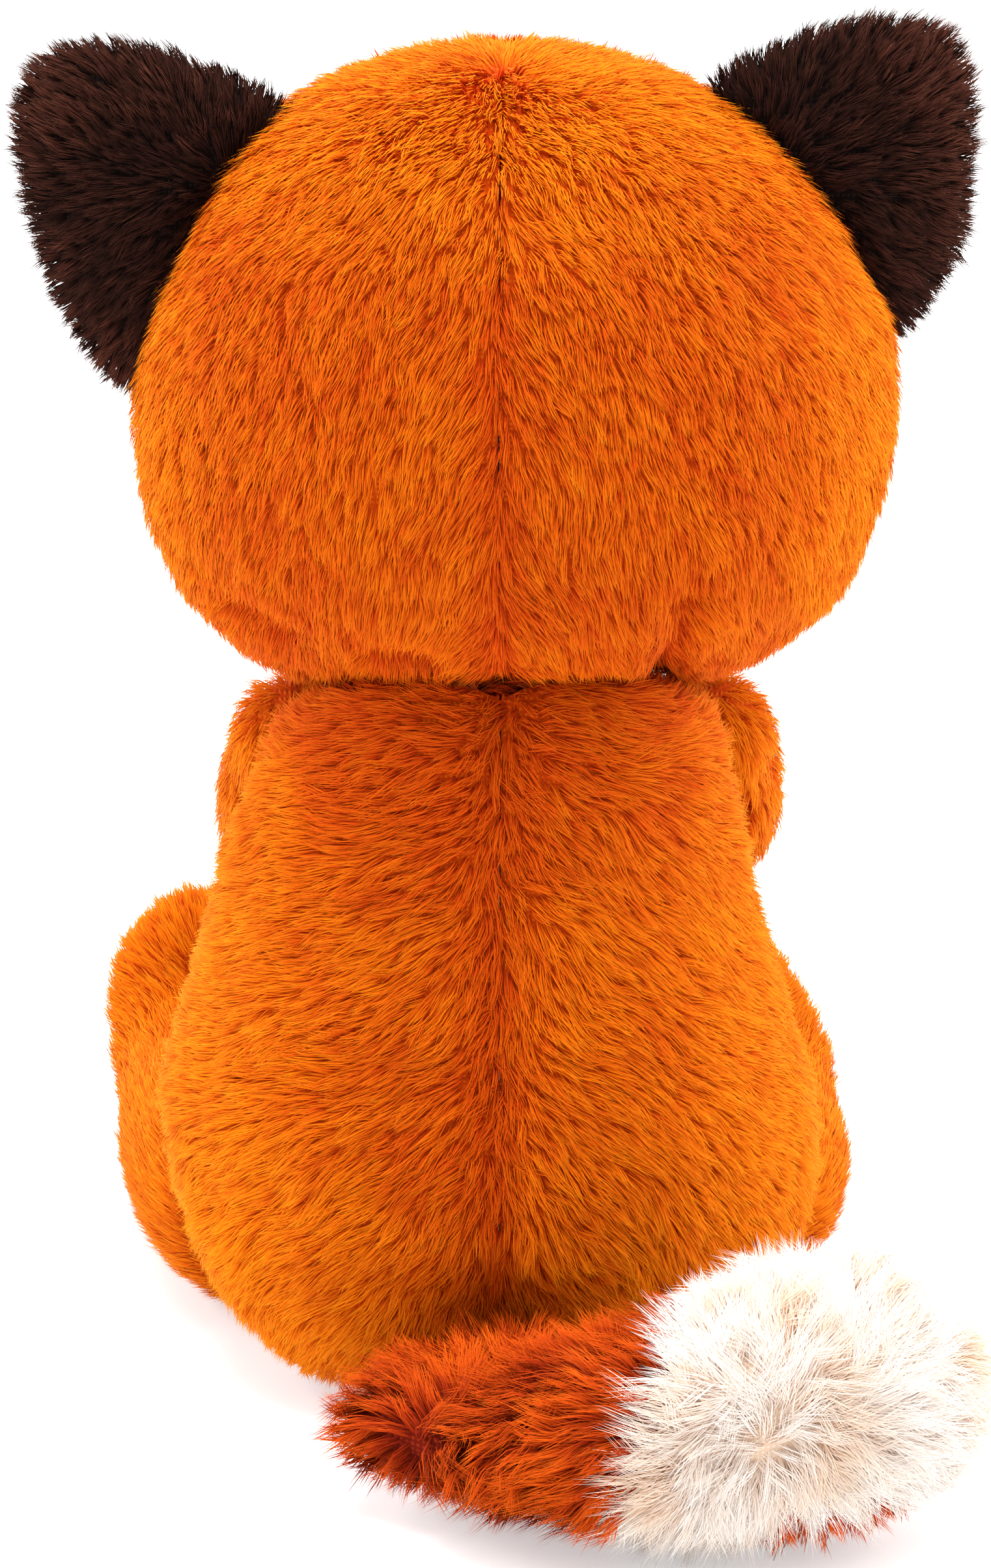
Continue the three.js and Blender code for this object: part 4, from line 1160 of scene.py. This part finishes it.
# what the covers hold, drawn in clear of the cover and lumpy
filling = {"voxel": 1.8 * mm, "smoothing": 4, "drawnIn": 2.6, "lumps": 0.7, "lumpSize": 7 * mm}
innards = {
    "body_filling": ("bodyFibre", "body", shapedBody), "head_filling": ("headFibre", "head", shapedHead),
    "tail_filling": ("tailFibre", "tail_body", shapedTail), "pellet_bag": ("pelletBag", "body", Vector),
}
for side, sign in sides:
    low = side.lower()
    innards["arm_filling_" + low] = ("armFibre" + side, f"arm_{low}_body", shapedArm)
    innards["leg_filling_" + low] = ("legFibre" + side, f"leg_{low}_body", forms["leg_" + low]["shaped"])
for node, (name, body, shaped) in innards.items():
    material, slotName = fibreWadding, "polyester_filling"
    if node == "pellet_bag":
        material, slotName = pelletCloth, "pellet_bag_cloth"
    piece = linked(name, mergedNode(node))
    form = remeshed(piece, filling["voxel"])
    smoothed(form, form.verts, filling["smoothing"])
    for vert in form.verts:
        vert.co = shaped(vert.co)
    form.normal_update()
    for vert in form.verts:
        lump = filling["lumps"] * noise.noise(vert.co / filling["lumpSize"])
        vert.co -= vert.normal * (filling["drawnIn"] + lump) * mm
    form.to_mesh(piece.data)
    form.free()
    smoothShaded(piece)
    piece.data.materials.append(material)
    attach(piece, body)
    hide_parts(node)
print("fillings made")

# moulded buttons and their washers, rounded from the solids
buttons = {"nose": ("noseButton", buttonBlack, "black_button"),
           "nose_washer": ("noseWasher", washerPlastic, "washer_plastic")}
for side, sign in sides:
    buttons["eye_" + side.lower()] = ("eye" + side, buttonBlack, "black_button")
    buttons[f"eye_{side.lower()}_washer"] = ("eyeWasher" + side, washerPlastic, "washer_plastic")
for node, (name, material, slotName) in buttons.items():
    piece = linked(name, mergedNode(node))
    rounding = piece.modifiers.new("rounding", "SUBSURF")
    rounding.levels = rounding.render_levels = 2
    settled(piece)
    smoothShaded(piece)
    piece.data.materials.append(material)
    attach(piece, "head")
    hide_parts(node)
print("buttons made")

# stitches: the mouth below the nose, and the knot that ends the back seam
stitches = {"twist": 0.4 * mm, "thread": 0.55 * mm, "above": 0.7 * mm, "mouthTop": -5 * mm,
            "mouthFork": -8.5 * mm, "mouthWide": 8 * mm, "mouthSag": 2.2 * mm, "mouthTurn": 0.8,
            "knotThread": 0.16 * mm, "knotAt": (3 * mm, 62 * mm), "knotAbove": 2.2 * mm, "knotTurns": 7,
            "knotWide": 1.1, "knotDeep": 0.7, "knotStep": 0.3, "knotStart": 0.8}
mouthThread = clothMaterial("mouthThread", (10, 6, 5), (34, 22, 18), stitches["twist"])
seamThread = clothMaterial("seamThread", (120, 26, 0), (196, 84, 10), stitches["twist"])


def thread(name, routes, radius, material, body):
    curve = bpy.data.curves.new(name, "CURVE")
    curve.dimensions = "3D"
    curve.bevel_depth = radius
    curve.bevel_resolution = 2
    curve.use_fill_caps = True
    for route in routes:
        line = curve.splines.new("POLY")
        line.points.add(len(route) - 1)
        for point, co in zip(line.points, route):
            point.co = (*co, 1)
    holder = bpy.data.objects.new(name + "Curve", curve)
    scene.collection.objects.link(holder)
    mesh = bpy.data.meshes.new_from_object(holder.evaluated_get(bpy.context.evaluated_depsgraph_get()))
    bpy.data.objects.remove(holder)
    bpy.data.curves.remove(curve)
    piece = bpy.data.objects.new(name, mesh)
    scene.collection.objects.link(piece)
    piece.data.materials.clear()
    piece.data.materials.append(material)
    smoothShaded(piece)
    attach(piece, body)


def onSurface(tree, x, z, way, above):  # the place on a form that is met from outside, along y
    place, normal, _, _ = tree.ray_cast(Vector((x, -0.3 * way, z)), Vector((0, way, 0)))
    return place + normal * above


noseLow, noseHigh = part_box("nose")
fork = (noseLow.z + noseHigh.z) / 2 + stitches["mouthFork"]
top = (noseLow.z + noseHigh.z) / 2 + stitches["mouthTop"]
mouthRoutes = [[onSurface(trees["snout"], 0, z, 1, stitches["above"]) for z in np.linspace(top, fork, 5)]]
for sign in (-1, 1):
    smile = []
    for share in np.linspace(0, 1, 9):
        z = fork - stitches["mouthSag"] * math.sin(share * math.pi * stitches["mouthTurn"])
        smile.append(onSurface(trees["snout"], sign * stitches["mouthWide"] * share, z, 1, stitches["above"]))
    mouthRoutes.append(smile)
thread("mouthStitch", mouthRoutes, stitches["thread"], mouthThread, "head")
knotAt = onSurface(trees["body"], *stitches["knotAt"], -1, stitches["knotAbove"])
knotTurns = []
for turn in np.linspace(0, stitches["knotTurns"], 22):
    x, z = math.cos(turn) * stitches["knotWide"], math.sin(turn) * stitches["knotDeep"]
    knotTurns.append(knotAt + Vector((x, stitches["knotStep"] * turn - stitches["knotStart"], z)) * mm)
thread("seamKnot", [knotTurns], stitches["knotThread"], seamThread, "body")
print("stitches made")

for piece in stuffed.values():
    removed(piece)
